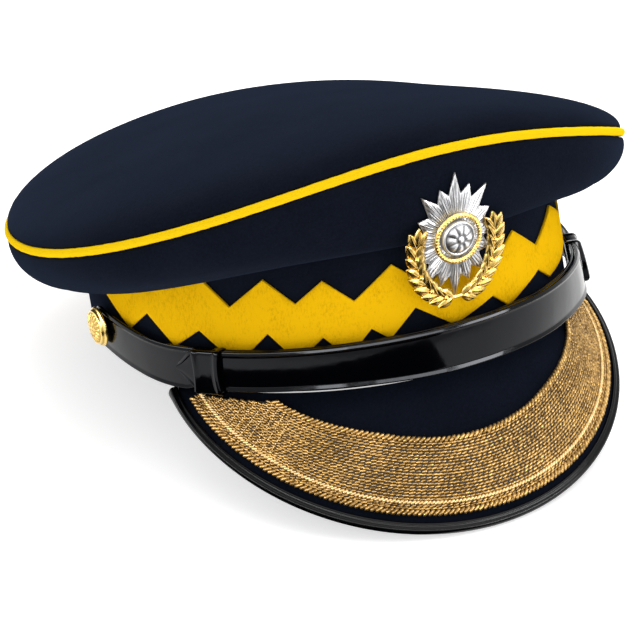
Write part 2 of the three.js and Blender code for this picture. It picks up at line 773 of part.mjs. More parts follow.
// How far out the outer strap lies: over the inner strap, then down to the band at its button.
function outerStrapOutward(turn) {
  const settled = THREE.MathUtils.smoothstep(turn, SETTLE_FROM, SETTLE_TO);
  return THREE.MathUtils.lerp(OUTER_STRAP_OUTWARD, INNER_STRAP_OUTWARD, settled);
}

// Turns a shape made along +Y to point straight out of the band at a button's place.
function atButton(geometry, turn) {
  const upright = new THREE.Vector3(0, 1, 0);
  const spin = new THREE.Quaternion().setFromUnitVectors(upright, bandNormal(turn));
  geometry.applyQuaternion(spin);
  const place = bandPoint(turn, 0, strapTop(turn) - BUTTON_BELOW_EDGE);
  return geometry.translate(place.x, place.y, place.z);
}

// Strap with the hole that its button's shank goes through.
function strapWithHole(geometry, turn) {
  const depth = 4 * OUTER_STRAP_OUTWARD;
  const radius = SHANK_RADIUS + GAP;
  const drill = new THREE.CylinderGeometry(radius, radius, depth, SHANK_HOLE_SIDES);
  return geometryOf(solidOf(geometry).subtract(solidOf(atButton(drill, turn))));
}

// Profile points of a low dome from its edge nearly to its axis.
function domeProfile(radius, foot, rise) {
  return steps(0, DOME_LAST_ANGLE, DOME_STEPS).map((angle) => new THREE.Vector2(
    radius * Math.cos(degrees(angle)),
    foot + rise * Math.sin(degrees(angle)),
  ));
}

// Button: a domed face with a rounded edge on a shank.
function button(turn) {
  const back = INNER_STRAP_OUTWARD + OUTER_STRAP_THICKNESS + GAP;
  const face = back + BUTTON_EDGE;
  const profile = [
    new THREE.Vector2(0, GAP),
    new THREE.Vector2(SHANK_RADIUS, GAP),
    new THREE.Vector2(SHANK_RADIUS, back),
    new THREE.Vector2(BUTTON_RADIUS - BUTTON_EDGE / 2, back),
    new THREE.Vector2(BUTTON_RADIUS, back + BUTTON_EDGE / 2),
    ...domeProfile(BUTTON_RADIUS - BUTTON_EDGE / 2, face, BUTTON_DOME),
    new THREE.Vector2(0, face + BUTTON_DOME),
  ];
  return atButton(new THREE.LatheGeometry(profile, BUTTON_SIDES), turn);
}

// Keeper: a leather loop round both layers of the strap.
function keeper(turn) {
  const along = new THREE.Vector3(0, 0, 1).cross(bandNormal(turn));
  const reach = KEEPER_WIDTH / 2 / bandRate(turn);
  along.z = (strapTop(turn + reach) - strapTop(turn - reach)) / KEEPER_WIDTH;
  const strapSize = strapHalf(OUTER_STRAP_WIDTH, OUTER_END_WIDTH, -1, turn);
  const middle = strapTop(turn) - strapSize;
  const back = INNER_STRAP_OUTWARD - GAP;
  const front = OUTER_STRAP_OUTWARD + OUTER_STRAP_THICKNESS + GAP;
  const half = strapSize + GAP;
  const corners = [
    { outward: back, height: -half, out: -1, up: -1 },
    { outward: front, height: -half, out: 1, up: -1 },
    { outward: front, height: half, out: 1, up: 1 },
    { outward: back, height: half, out: -1, up: 1 },
  ];
  const rounded = KEEPER_WALL - KEEPER_ROUNDING;
  const loops = [];
  corners.forEach(({ outward, height, out, up }, index) => {
    const bends = [[KEEPER_WALL, rounded], [rounded, KEEPER_WALL]];
    const ordered = index % 2 === 0 ? bends : bends.reverse();
    for (const [outStep, upStep] of ordered) {
      const inside = strapPoint(turn, outward, middle + height);
      const outside = strapPoint(turn, outward + out * outStep, middle + height + up * upStep);
      loops.push([
        inside.clone().addScaledVector(along, -KEEPER_WIDTH / 2),
        inside.clone().addScaledVector(along, KEEPER_WIDTH / 2),
        outside.clone().addScaledVector(along, KEEPER_WIDTH / 2),
        outside.clone().addScaledVector(along, -KEEPER_WIDTH / 2),
      ]);
    }
  });
  return loopSolid(loops, { ring: true });
}

// Takes a shape drawn flat, with +Y up the badge and +Z out of it, to the front of the cap.
function atBadge(geometry) {
  const position = geometry.attributes.position;
  for (let index = 0; index < position.count; index += 1) {
    const bend = position.getX(index) ** 2 / (2 * BADGE_BEND_RADIUS);
    position.setZ(index, position.getZ(index) - bend);
  }
  geometry.rotateX(Math.PI / 2 + BADGE_LEAN);
  return geometry.translate(0, -BAND_HALF_LENGTH - BADGE_OUTWARD, BADGE_HEIGHT);
}

// Star: rays with a ridge along each, long and short in turn, and a domed boss soldered on.
function badgeStar() {
  const outline = [];
  for (let ray = 0; ray < STAR_RAYS; ray += 1) {
    const length = ray % 2 === 0 ? 1 : STAR_SHORT_RAY;
    outline.push({ angle: (2 * Math.PI * ray) / STAR_RAYS, share: length });
    outline.push({ angle: (2 * Math.PI * (ray + 0.5)) / STAR_RAYS, share: STAR_VALLEY });
  }
  const loopAt = (out, scale) => outline.map(({ angle, share }) => new THREE.Vector3(
    scale * share * STAR_HALF_WIDTH * Math.sin(angle),
    scale * share * STAR_HALF_HEIGHT * Math.cos(angle),
    out,
  ));
  const plate = loopSolid([loopAt(0, 1), loopAt(STAR_EDGE, 1)], {
    firstPoint: new THREE.Vector3(0, 0, 0),
    lastPoint: new THREE.Vector3(0, 0, STAR_RIDGE),
  });
  const profile = [
    new THREE.Vector2(0, STAR_EDGE / 2),
    new THREE.Vector2(BOSS_RADIUS, STAR_EDGE / 2),
    ...domeProfile(BOSS_RADIUS, STAR_EDGE, BOSS_RISE),
    new THREE.Vector2(0, STAR_EDGE + BOSS_RISE),
  ];
  const boss = new THREE.LatheGeometry(profile, BOSS_SIDES).rotateX(Math.PI / 2);
  return atBadge(geometryOf(solidOf(plate).add(solidOf(boss))));
}

// Ring: a gilt hoop round the boss, resting on the ridges of the rays.
function badgeRing() {
  const rest = STAR_RIDGE + GAP + RING_TUBE / 2;
  const ring = new THREE.TorusGeometry(RING_RADIUS, RING_TUBE, RING_TUBE_SIDES, BOSS_SIDES);
  return atBadge(ring.translate(0, 0, rest));
}

// Leaf: a thin pointed lens along +Y from the origin.
function leaf() {
  const geometry = new THREE.OctahedronGeometry(1);
  geometry.scale(LEAF_HALF_WIDTH, LEAF_LENGTH / 2, LEAF_HALF_DEPTH);
  return geometry.translate(0, LEAF_LENGTH / 2, 0);
}

// Sprays: a curved stem with a pair of leaves at each step, one spray up each side of the star.
function badgeSprays() {
  const stemPoint = (angle) => new THREE.Vector3(
    SPRAY_HALF_WIDTH * Math.sin(angle),
    -SPRAY_DROP - SPRAY_HALF_HEIGHT * Math.cos(angle),
    SPRAY_OUTWARD,
  );
  const section = new THREE.Shape().absarc(0, 0, STEM_RADIUS, 0, 2 * Math.PI);
  const turns = steps(-STEM_TO, STEM_TO, 2 * SPRAY_LEAVES);
  const stem = new THREE.ExtrudeGeometry(section, {
    extrudePath: new THREE.CatmullRomCurve3(turns.map(stemPoint)),
    steps: 3 * SPRAY_LEAVES,
    curveSegments: 3,
    bevelEnabled: false,
  });
  let solid = solidOf(stem);
  for (const side of [-1, 1]) {
    for (const angle of steps(SPRAY_FROM, SPRAY_TO, SPRAY_LEAVES)) {
      const foot = stemPoint(side * angle);
      const onward = stemPoint(side * (angle + SMALL_STEP)).sub(foot);
      const heading = Math.atan2(-onward.x, onward.y);
      for (const spread of [-LEAF_SPREAD, LEAF_SPREAD]) {
        const blade = leaf().rotateZ(heading + spread).translate(foot.x, foot.y, foot.z);
        solid = solid.add(solidOf(blade));
      }
    }
  }
  return atBadge(geometryOf(solid));
}

// Lowest height of a shape once the cap is tipped back.
function lowest(geometry, tilt) {
  const position = geometry.attributes.position;
  let height = Infinity;
  for (let index = 0; index < position.count; index += 1) {
    const tipped = position.getZ(index) * Math.cos(tilt) - position.getY(index) * Math.sin(tilt);
    height = Math.min(height, tipped);
  }
  return height;
}

// Tilt at which a front piece and a rear piece stand equally low.
function restingTilt(front, rear) {
  let [low, high] = [0, STEEPEST_TILT];
  for (let halving = 0; halving < TILT_HALVINGS; halving += 1) {
    const middle = (low + high) / 2;
    const frontIsLower = lowest(front, middle) < lowest(rear, middle);
    [low, high] = frontIsLower ? [middle, high] : [low, middle];
  }
  return low;
}

// Soft piece pressed flat where it stands on the floor.
function flattened(geometry, tilt, floor) {
  const slab = new THREE.BoxGeometry(SLAB_WIDTH, SLAB_WIDTH, SLAB_DEPTH);
  slab.translate(0, 0, floor - SLAB_DEPTH / 2).rotateX(tilt);
  return geometryOf(solidOf(geometry).subtract(solidOf(slab)));
}

const band = headBand();
const binding = peakBinding();
const tilt = restingTilt(binding, band);
const floor = lowest(band, tilt) + FLATTENED;
const cordInnerPlace = (across) => LACE_FROM_RIM + laceWidth(across) + CORD_RADIUS + GAP;
const cordOuterPlace = () => LACE_FROM_RIM - CORD_RADIUS - GAP;
const outerStrap = strap(
  strapStations(BUTTON_TURN, OUTER_STRAP_POINT, OUTER_STRAP_WIDTH, OUTER_END_WIDTH),
  outerStrapOutward,
  OUTER_STRAP_THICKNESS,
);
const innerStrap = strap(
  strapStations(-BUTTON_TURN, INNER_STRAP_POINT, INNER_STRAP_WIDTH, INNER_END_WIDTH),
  () => INNER_STRAP_OUTWARD,
  INNER_STRAP_THICKNESS,
);

const pieces = [
  { name: 'crown_top', look: 'navy', geometry: crownTop() },
  { name: 'crown_side', look: 'navy', geometry: crownSide() },
  { name: 'crown_piping', look: 'yellow', geometry: crownPiping() },
  { name: 'head_band', look: 'navy', geometry: flattened(band, tilt, floor) },
  { name: 'zigzag_band', look: 'yellow', geometry: zigzagBand() },
  { name: 'peak', look: 'navy', geometry: peakBoard() },
  { name: 'peak_binding', look: 'patent', geometry: flattened(binding, tilt, floor) },
  { name: 'peak_lace', look: 'gold', geometry: peakLace() },
  { name: 'lace_cord_outer', look: 'gold', geometry: laceCord(LACE_SPREAD, cordOuterPlace) },
  { name: 'lace_cord_inner', look: 'gold', geometry: laceCord(CORD_INNER_SPREAD, cordInnerPlace) },
  { name: 'chin_strap_outer', look: 'patent', geometry: strapWithHole(outerStrap, BUTTON_TURN) },
  { name: 'chin_strap_inner', look: 'patent', geometry: strapWithHole(innerStrap, -BUTTON_TURN) },
  { name: 'button_right', look: 'gilt', geometry: button(-BUTTON_TURN) },
  { name: 'button_left', look: 'gilt', geometry: button(BUTTON_TURN) },
  { name: 'badge_star', look: 'silver', geometry: badgeStar() },
  { name: 'badge_ring', look: 'gilt', geometry: badgeRing() },
  { name: 'badge_sprays', look: 'gilt', geometry: badgeSprays() },
];
for (const { side, turn } of KEEPER_TURNS) {
  pieces.push({ name: `keeper_${side}`, look: 'patent', geometry: keeper(turn) });
}

// The level cap, tipped back onto the floor and centred over the origin
const cap = new THREE.Group();
for (const { name, look, geometry } of pieces) {
  geometry.computeVertexNormals();
  const mesh = new THREE.Mesh(geometry, new THREE.MeshStandardMaterial(COLOURS[look]));
  mesh.name = name;
  cap.add(mesh);
}
cap.rotation.x = -tilt;
const middle = new THREE.Box3().setFromObject(cap, true).getCenter(new THREE.Vector3());
cap.position.set(-middle.x, -middle.y, -floor);

const group = new THREE.Group();
group.add(cap);

export default group;
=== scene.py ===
"""Forage cap: cloth, felt, leather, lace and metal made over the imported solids.

Every length in the file is in metres, and the sizes are given in millimetres times MM.
The cap is shaped level, with the front towards -Y, and each finished piece is then tipped
back with the whole cap onto the floor.
"""

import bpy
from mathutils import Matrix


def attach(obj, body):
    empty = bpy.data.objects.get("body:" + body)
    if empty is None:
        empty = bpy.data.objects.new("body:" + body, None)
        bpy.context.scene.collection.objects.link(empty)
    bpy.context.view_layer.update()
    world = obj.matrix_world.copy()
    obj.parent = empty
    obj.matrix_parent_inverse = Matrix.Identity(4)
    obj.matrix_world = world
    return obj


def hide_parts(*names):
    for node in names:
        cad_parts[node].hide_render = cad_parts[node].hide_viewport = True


bl_info = {
    "name": "Forage Cap",
    "version": (1, 0, 0),
    "blender": (4, 5, 0),
    "location": "3D View > Sidebar > Forage Cap",
    "description": "Makes the cloth, felt, leather, lace and metal of a forage cap",
    "category": "Object",
}

import math

import bmesh
import bpy
from bpy.props import FloatProperty, FloatVectorProperty, IntProperty, PointerProperty
from mathutils import Matrix, Vector, noise

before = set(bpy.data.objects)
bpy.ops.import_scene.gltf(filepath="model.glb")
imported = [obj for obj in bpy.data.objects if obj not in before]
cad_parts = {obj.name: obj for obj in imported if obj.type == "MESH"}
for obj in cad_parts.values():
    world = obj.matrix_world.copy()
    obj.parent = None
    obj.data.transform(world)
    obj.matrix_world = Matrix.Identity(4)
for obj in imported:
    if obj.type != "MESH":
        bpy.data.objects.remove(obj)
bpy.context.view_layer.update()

MM = 0.001

# Felt's upper edge across the front: turn of each tip in degrees from the front, its height in
# millimetres, and the turn and height of the valley after it
UPPER_TEETH = (
    (-70, 40, -62, 36), (-53, 40, -47, 30), (-39, 39.3, -33, 30.6), (-27, 37.6, -21, 29.8),
    (-12.5, 40, -5, 31), (3, 40, 11, 31), (18.5, 40, 27, 31), (37, 40.6, 52, 31),
)
# Felt's lower edge across the front: the same for each notch and the low point after it
LOWER_TEETH = (
    (-104, 34, -91, 33.5), (-90, 34, -76, 17), (-69, 24.7, -62, 14.3), (-55, 21.2, -47, 10),
    (-39.5, 20.8, -34, 11), (-28.2, 18.6, -23.5, 11), (-18.2, 19.8, -14.5, 15.4), (-8.5, 24.3, 0, 15.5),
    (10.5, 21, 15, 15.5), (27, 22.4, 32.5, 17), (62, 21.5, 69, 16.2),
)
BACK_TEETH = 16

# Turns from the front, in degrees, between which a change sets in and, where given, fades again
LEAN_TURNS = (28, 58, 60, 87)
FLARE_TURNS = (34, 54, 67, 80)
SETTLE_TURNS = (71.5, 81)
SWELL_TURNS = (20, 50)
TAPER_TURNS = (0, 35)

# Powers that make a form round or sharp
DOME_ROUNDNESS = 1.6
STAY_SHARPNESS = 3
ARCH_SHARPNESS = 10
TUCK_SHARPNESS = 12
SWELL_SHARPNESS = 0.35

# Fineness of the meshes
CLOTH_TURNS = 180
PIPING_TURNS = 420
FELT_TURNS = 360
PEAK_STEPS = 72
BINDING_STEPS = 120
LACE_SAMPLES = 360
STRAP_STEPS = 110
BUTTON_SIDES = 144
BOSS_SIDES = 96

# Lights: name, place in metres, width, depth and share of the key light's power. The strips show
# only in what is glossy.
LIGHTS = (
    ("key", (0.3, -0.2, 1.4), 1.3, 1.3, 1.1),
    ("rim", (0.75, 0.8, 1.25), 0.8, 0.8, 0.9),
    ("strip_side", (-1.4, 0.35, 0.75), 1.2, 0.35, 1.5),
    ("strip_left", (-1.16, -0.7, 0.78), 1.2, 0.26, 1.5),
    ("strip_middle", (-0.21, -1.28, 0.94), 1.3, 0.2, 0.9),
    ("strip_right", (0.85, -1.1, 0.75), 1.1, 0.26, 1.8),
)
LIGHT_AIM = (0, 0, 0.05)
FLOOR_REACH = 60
# Dark card in front of the cap: turn from its front in degrees, reach and height in metres
FLAG_CORNERS = (
    (-98, 0.1, 0.002), (-92, 0.22, 0.002), (-70, 0.27, 0.002), (-45, 0.42, 0.002), (-25, 0.7, 0.01),
    (-12, 1.2, 0.08), (8, 1.2, 0.12), (10, 0.08, 0.002), (-40, 0.07, 0.002),
)
FLAG_CENTRE = -0.06


def length(name, description, millimetres):
    """A size that a user may change."""
    return FloatProperty(
        name=name, description=description, default=millimetres * MM, unit="LENGTH", precision=5
    )


def angle(name, description, degrees):
    """An angle that a user may change."""
    return FloatProperty(
        name=name, description=description, default=math.radians(degrees), subtype="ANGLE"
    )


def factor(name, description, value):
    """A plain number that a user may change."""
    return FloatProperty(name=name, description=description, default=value, precision=4)


def colour(name, description, red, green, blue):
    """A colour that a user may change."""
    return FloatVectorProperty(
        name=name, description=description, default=(red, green, blue), subtype="COLOR",
        size=3, min=0, max=1,
    )


class RestSizes(bpy.types.PropertyGroup):
    """How the level cap is tipped back to rest on the floor."""

    tilt: angle("Tilt", "How far the cap is tipped back", 11.962)
    shift: length("Shift", "How far the tipped cap is moved back", 0.365)
    lift: length("Lift", "How far the tipped cap is raised onto the floor", 20.851)


class BandSizes(bpy.types.PropertyGroup):
    """Head band and the zigzag felt on it."""

    half_width: length("Half width", "Middle line to the band's outer face at the side", 87)
    half_length: length("Half length", "Middle to the band's outer face at the front", 103.5)
    height: length("Height", "Height of the band's top edge at the back", 50)
    front_stay: length("Front stay", "How much higher the band stands at the front", 12)
    arch: length("Arch", "How far the lower edge rises at the sides", 5.5)
    wall: length("Wall", "Thickness of the band", 2.4)
    press_top: length("Top press", "How far the wearer's left side leans in at its top", 2.9)
    press_foot: length("Foot press", "How far it leans in at its foot", -0.8)
    gap: length("Gap", "Clearance between pieces", 0.3)
    felt: length("Felt", "Thickness of the zigzag felt", 0.8)
    tip: length("Tip", "Height of the felt's upper points", 40)
    valley: length("Valley", "Height of the felt's upper valleys", 31)
    notch: length("Notch", "Height of the felt's lower notches", 21.5)
    low: length("Low", "Height of the felt's lower points", 16.2)


class CrownSizes(bpy.types.PropertyGroup):
    """Crown cloth and its piping."""

    half_width: length("Half width", "Middle line to the piping at the side", 113.3)
    half_length: length("Half length", "Half the crown from front to back", 120.5)
    shift: length("Shift", "How far the crown sits back of the band", 4.5)
    egg: factor("Egg", "How much wider the crown is at the front", 0.016)
    corner: factor("Corner", "Fullness of the crown between front and sides", 0.026)
    wall: length("Wall", "Thickness of the cloth", 1.8)
    waves: FloatVectorProperty(
        name="Edge waves", description="Waves that make up the height of the piping", size=5,
        default=(55.7 * MM, 8.5 * MM, 10.3 * MM, 0.4 * MM, 0.6 * MM), unit="LENGTH", precision=5,
    )
    leans: FloatVectorProperty(
        name="Edge leans", description="The same waves, up on one side and down on the other", size=5,
        default=(0, 0.2 * MM, -1.4 * MM, 0.8 * MM, 0), unit="LENGTH", precision=5,
    )
    dome: length("Dome", "Rise of the top above its edge", 22.8)
    shoulder: factor("Shoulder", "How full the dome is near its edge", 0.48)
    roll_front: length("Front roll", "Depth of the side roll towards the front", 17.5)
    roll_back: length("Back roll", "Depth of the side roll at the back", 22.5)
    droop: length("Droop", "How much deeper the roll hangs across the front", 12.5)
    droop_spread: angle("Droop spread", "How far round each way the roll hangs deeper", 35)
    standoff: length("Stand-off", "Cloth to band at the seam", 1.4)
    overlap: length("Overlap", "How far the side runs up inside to its seam", 4)
    seam_level: length("Seam level", "Height at which the side meets the band", 25)
    piping: length("Piping", "Radius of the piping", 1.5)
    slack: length("Slack", "Soft unevenness of the cloth", 0.5)
    swell: length("Swell", "How far the side swells out under the piping", 1.5)


class PeakSizes(bpy.types.PropertyGroup):
    """Peak, its binding and its gold lace."""

    half_width: length("Half width", "Half the width of the rim", 83.5)
    reach: length("Reach", "Length of the rim's half ellipse", 77)
    centre: length("Centre", "Where the rim's ellipse is centred", -49.2)
    hinge: length("Hinge", "Where the sloping rim is level with the band's edge", -46)
    slope: factor("Slope", "Fall of the rim for each length forward", 0.588)
    spread: angle("Spread", "How far round its ellipse the rim runs each way", 91)
    tuck: length("Tuck", "How far the ends of the rim turn in under the strap", 1.2)
    thickness: length("Thickness", "Thickness of the board", 2)
    root_spread: angle("Root spread", "How far round the band the peak is sewn each way", 62.5)
    crowding: factor("Crowding", "How the root keeps to the middle", 1.25)
    root_outward: length("Root outward", "Root to the band's outer face", -1.2)
    root_height: length("Root height", "Height of the root", -0.5)
    binding: length("Binding", "Width of the leather binding", 3.6)
    binding_wall: length("Binding wall", "Thickness of the leather binding", 0.9)
    lace_from_rim: length("Lace from rim", "Rim to the near edge of the lace", 7.9)
    lace_width: length("Lace width", "Width of the lace between its ropes", 21.6)
    lace_taper: length("Lace taper", "How much narrower the lace is towards its ends", 3.5)
    lace_spread: factor("Lace spread", "Share of the rim that the lace follows", 0.92)
    lace_root: length("Lace to root", "Clearance between the lace and the band", 3.5)
    lace_ground: length("Lace ground", "Thickness of the cloth under the wires", 0.5)
    wire_rows: IntProperty(
        name="Wire rows", description="Rows of gold wire across the lace", default=19, min=2
    )
    wire_pitch: length("Wire pitch", "From one turn of wire to the next along a row", 1.9)
    rope_radius: length("Rope radius", "Radius of the twisted edges", 0.8)


class StrapSizes(bpy.types.PropertyGroup):
    """Chin strap, keepers and buttons."""

    bottom: length("Bottom", "Height of the strap's lower edge at the front", 1.5)
    outer_width: length("Outer width", "Width of the outer strap", 15.6)
    inner_width: length("Inner width", "Width of the inner strap", 14)
    point_taper: length("Point taper", "How much half a strap narrows towards its point", 0.8)
    outer_end: length("Outer end", "Width of the outer strap at its button", 13.4)
    inner_end: length("Inner end", "Width of the inner strap at its button", 15.3)
    outer_end_from: angle("Outer end from", "Where the outer strap starts to narrow to its end", 42)
    inner_end_from: angle("Inner end from", "Where the inner strap starts to widen to its end", 55.6)
    inner_end_by: angle("Inner end by", "Where the inner strap has its end's width", 59.4)
    standoff: length("Stand-off", "How far the strap stands off the band on the left", 0.6)
    flare: length("Flare", "How much further its lower edge stands off there", 0.9)
    rise: length("Rise", "How far the strap climbs to its buttons", 7)
    rise_from: angle("Rise from", "Where the strap starts to climb", 61)
    rise_to: angle("Rise to", "Where the climb would end", 93)
    sag: length("Sag", "How far the strap sags over the ends of the peak", 1.4)
    inner_outward: length("Inner outward", "Band to the back of the inner strap", 2.6)
    inner_thickness: length("Inner thickness", "Thickness of the inner strap", 1.2)
    outer_outward: length("Outer outward", "Band to the back of the outer strap", 4.1)
    outer_thickness: length("Outer thickness", "Thickness of the outer strap", 1.5)
    bead_width: length("Bead width", "Width of the raised edges", 1.7)
    bead: length("Bead", "Height of the raised edges", 0.5)
    crowning: length("Crowning", "How far the middle of the strap bellies out", 0.3)
    outer_point: angle("Outer point", "Where the outer strap ends", -60)
    inner_point: angle("Inner point", "Where the inner strap ends", 70.5)
    button_turn: angle("Button turn", "Where the buttons are", 85.3)
    point: length("Point", "Length of a strap's pointed end", 7)
    keeper_right: angle("Right keeper", "Where the keeper on the wearer's right is", -52.1)
    keeper_left: angle("Left keeper", "Where the keeper on the wearer's left is", 62.2)
    keeper_width: length("Keeper width", "Width of a keeper", 11.2)
    keeper_wall: length("Keeper wall", "Thickness of a keeper", 1)
    button: length("Button", "Radius of a button", 7.2)
    button_below: length("Button below", "Upper edge of the strap to a button's middle", 6.7)
    button_dome: length("Button dome", "Rise of a button's face", 3)


class BadgeSizes(bpy.types.PropertyGroup):
    """Badge: a rayed silver star, a gilt ring and two gilt leaf sprays."""

    height: length("Height", "Height of the badge's middle", 47)
    outward: length("Outward", "Band to the back of the badge", 6.4)
    lean: angle("Lean", "How far the badge leans with the crown", 11.5)
    bend: length("Bend", "Radius of the badge's curve round the cap", 115)
    half_width: length("Half width", "Half the width of the star", 16.5)
    half_height: length("Half height", "Half the height of the star", 21.5)
    edge: length("Edge", "Thickness of the star at its rays", 0.7)
    ridge: length("Ridge", "Thickness of the star at its middle", 2.4)
    boss: length("Boss", "Radius of the boss", 6)
    ring: length("Ring", "Radius of the gilt ring", 7.8)
    spray_width: length("Spray width", "Half the width of the sprays", 14.5)
    spray_height: length("Spray height", "Half the height of the sprays", 17.5)
    spray_drop: length("Spray drop", "How far below the star's middle the sprays are centred", 3.5)
    spray_out: length("Spray out", "Star's back to the stems", 2)
    leaf: length("Leaf", "Length of a leaf", 6.4)


class CapColours(bpy.types.PropertyGroup):
    """Colours of the finishes."""

    wool_dark: colour("Wool, dark", "Deepest navy of the wool", 0.0035, 0.0046, 0.0081)
    wool_light: colour("Wool, light", "Lightest navy of the wool", 0.0072, 0.0092, 0.0162)
    wool_sheen: colour("Wool, sheen", "Tint of the nap seen edge on", 0.38, 0.55, 0.96)
    felt_dark: colour("Felt, dark", "Shaded fibres of the felt", 0.56, 0.29, 0.002)
    felt_light: colour("Felt, light", "Bright fibres of the felt", 0.84, 0.475, 0.004)
    cord: colour("Cord", "Bright felt of the piping", 0.87, 0.565, 0.007)
    patent: colour("Patent", "Patent leather", 0.0006, 0.0007, 0.0012)
    wire_dark: colour("Wire, dark", "Deep gold of the lace", 0.14, 0.074, 0.017)
    wire_light: colour("Wire, light", "Bright gold of the lace", 0.56, 0.35, 0.12)
    wire_bright: colour("Wire, bright", "Brightest gold of the lace's line", 0.74, 0.56, 0.3)
    silk_dark: colour("Silk, dark", "Deepest silk under the wires", 0.014, 0.008, 0.002)
    silk_light: colour("Silk, light", "Lightest silk under the wires", 0.05, 0.027, 0.007)
    gilt: colour("Gilt", "Gilt metal", 0.95, 0.68, 0.22)
    # Gilt and silver in the hollows of their raised work are painted shade.
    gilt_deep: colour("Gilt, deep", "Gilt metal in the hollows of its work", 0.3, 0.16, 0.02)
    silver: colour("Silver", "Silver metal", 0.78, 0.78, 0.79)
    silver_deep: colour("Silver, deep", "Silver metal in the hollows of its work", 0.09, 0.09, 0.095)
    floor: colour("Floor", "Plain pale floor", 0.8, 0.8, 0.8)


class StageSizes(bpy.types.PropertyGroup):
    """Camera and lights."""

    eye: FloatVectorProperty(
        name="Eye", description="Where the camera stands", size=3, subtype="TRANSLATION",
        default=(-232.3 * MM, -493.2 * MM, 309.3 * MM), precision=4,
    )
    azimuth: angle("Azimuth", "Turn of the camera round the cap", -24.98)
    elevation: angle("Elevation", "Height of the camera above the floor", 28.53)
    roll: angle("Roll", "Lean of the camera", -2.5)
    lens: FloatProperty(name="Lens", description="Focal length", default=90, unit="CAMERA")
    sky: factor("Sky", "Strength of the light from all round", 0.8)
    key: FloatProperty(name="Key", description="Strength of the key light", default=9, unit="POWER")


class ForageCap(bpy.types.PropertyGroup):
    """All the sizes and colours of the cap."""

    rest: PointerProperty(type=RestSizes)
    band: PointerProperty(type=BandSizes)
    crown: PointerProperty(type=CrownSizes)
    peak: PointerProperty(type=PeakSizes)
    strap: PointerProperty(type=StrapSizes)
    badge: PointerProperty(type=BadgeSizes)
    colours: PointerProperty(type=CapColours)
    stage: PointerProperty(type=StageSizes)


# Small helpers


def steps(start, end, count):
    """Even steps from one value to another, both ends included."""
    return [start + (end - start) * index / count for index in range(count + 1)]


def turns_round(count):
    """Even turns round a whole circle."""
    return [math.tau * index / count for index in range(count)]


def eased(value, start, end):
    """Smooth step from 0 at start to 1 at end."""
    share = min(1, max(0, (value - start) / (end - start)))
    return share * share * (3 - 2 * share)


def set_in(turn, start, end, *fade):
    """Smooth step between two turns in degrees, and back again between two more."""
    share = eased(turn, math.radians(start), math.radians(end))
    return share * (1 - set_in(turn, *fade)) if fade else share


def from_front(turn):
    """Turn from the front, the shorter way round."""
    return abs((turn + math.pi) % math.tau - math.pi)


def mix(a, b, share):
    """Value part of the way from a to b."""
    return a + (b - a) * share


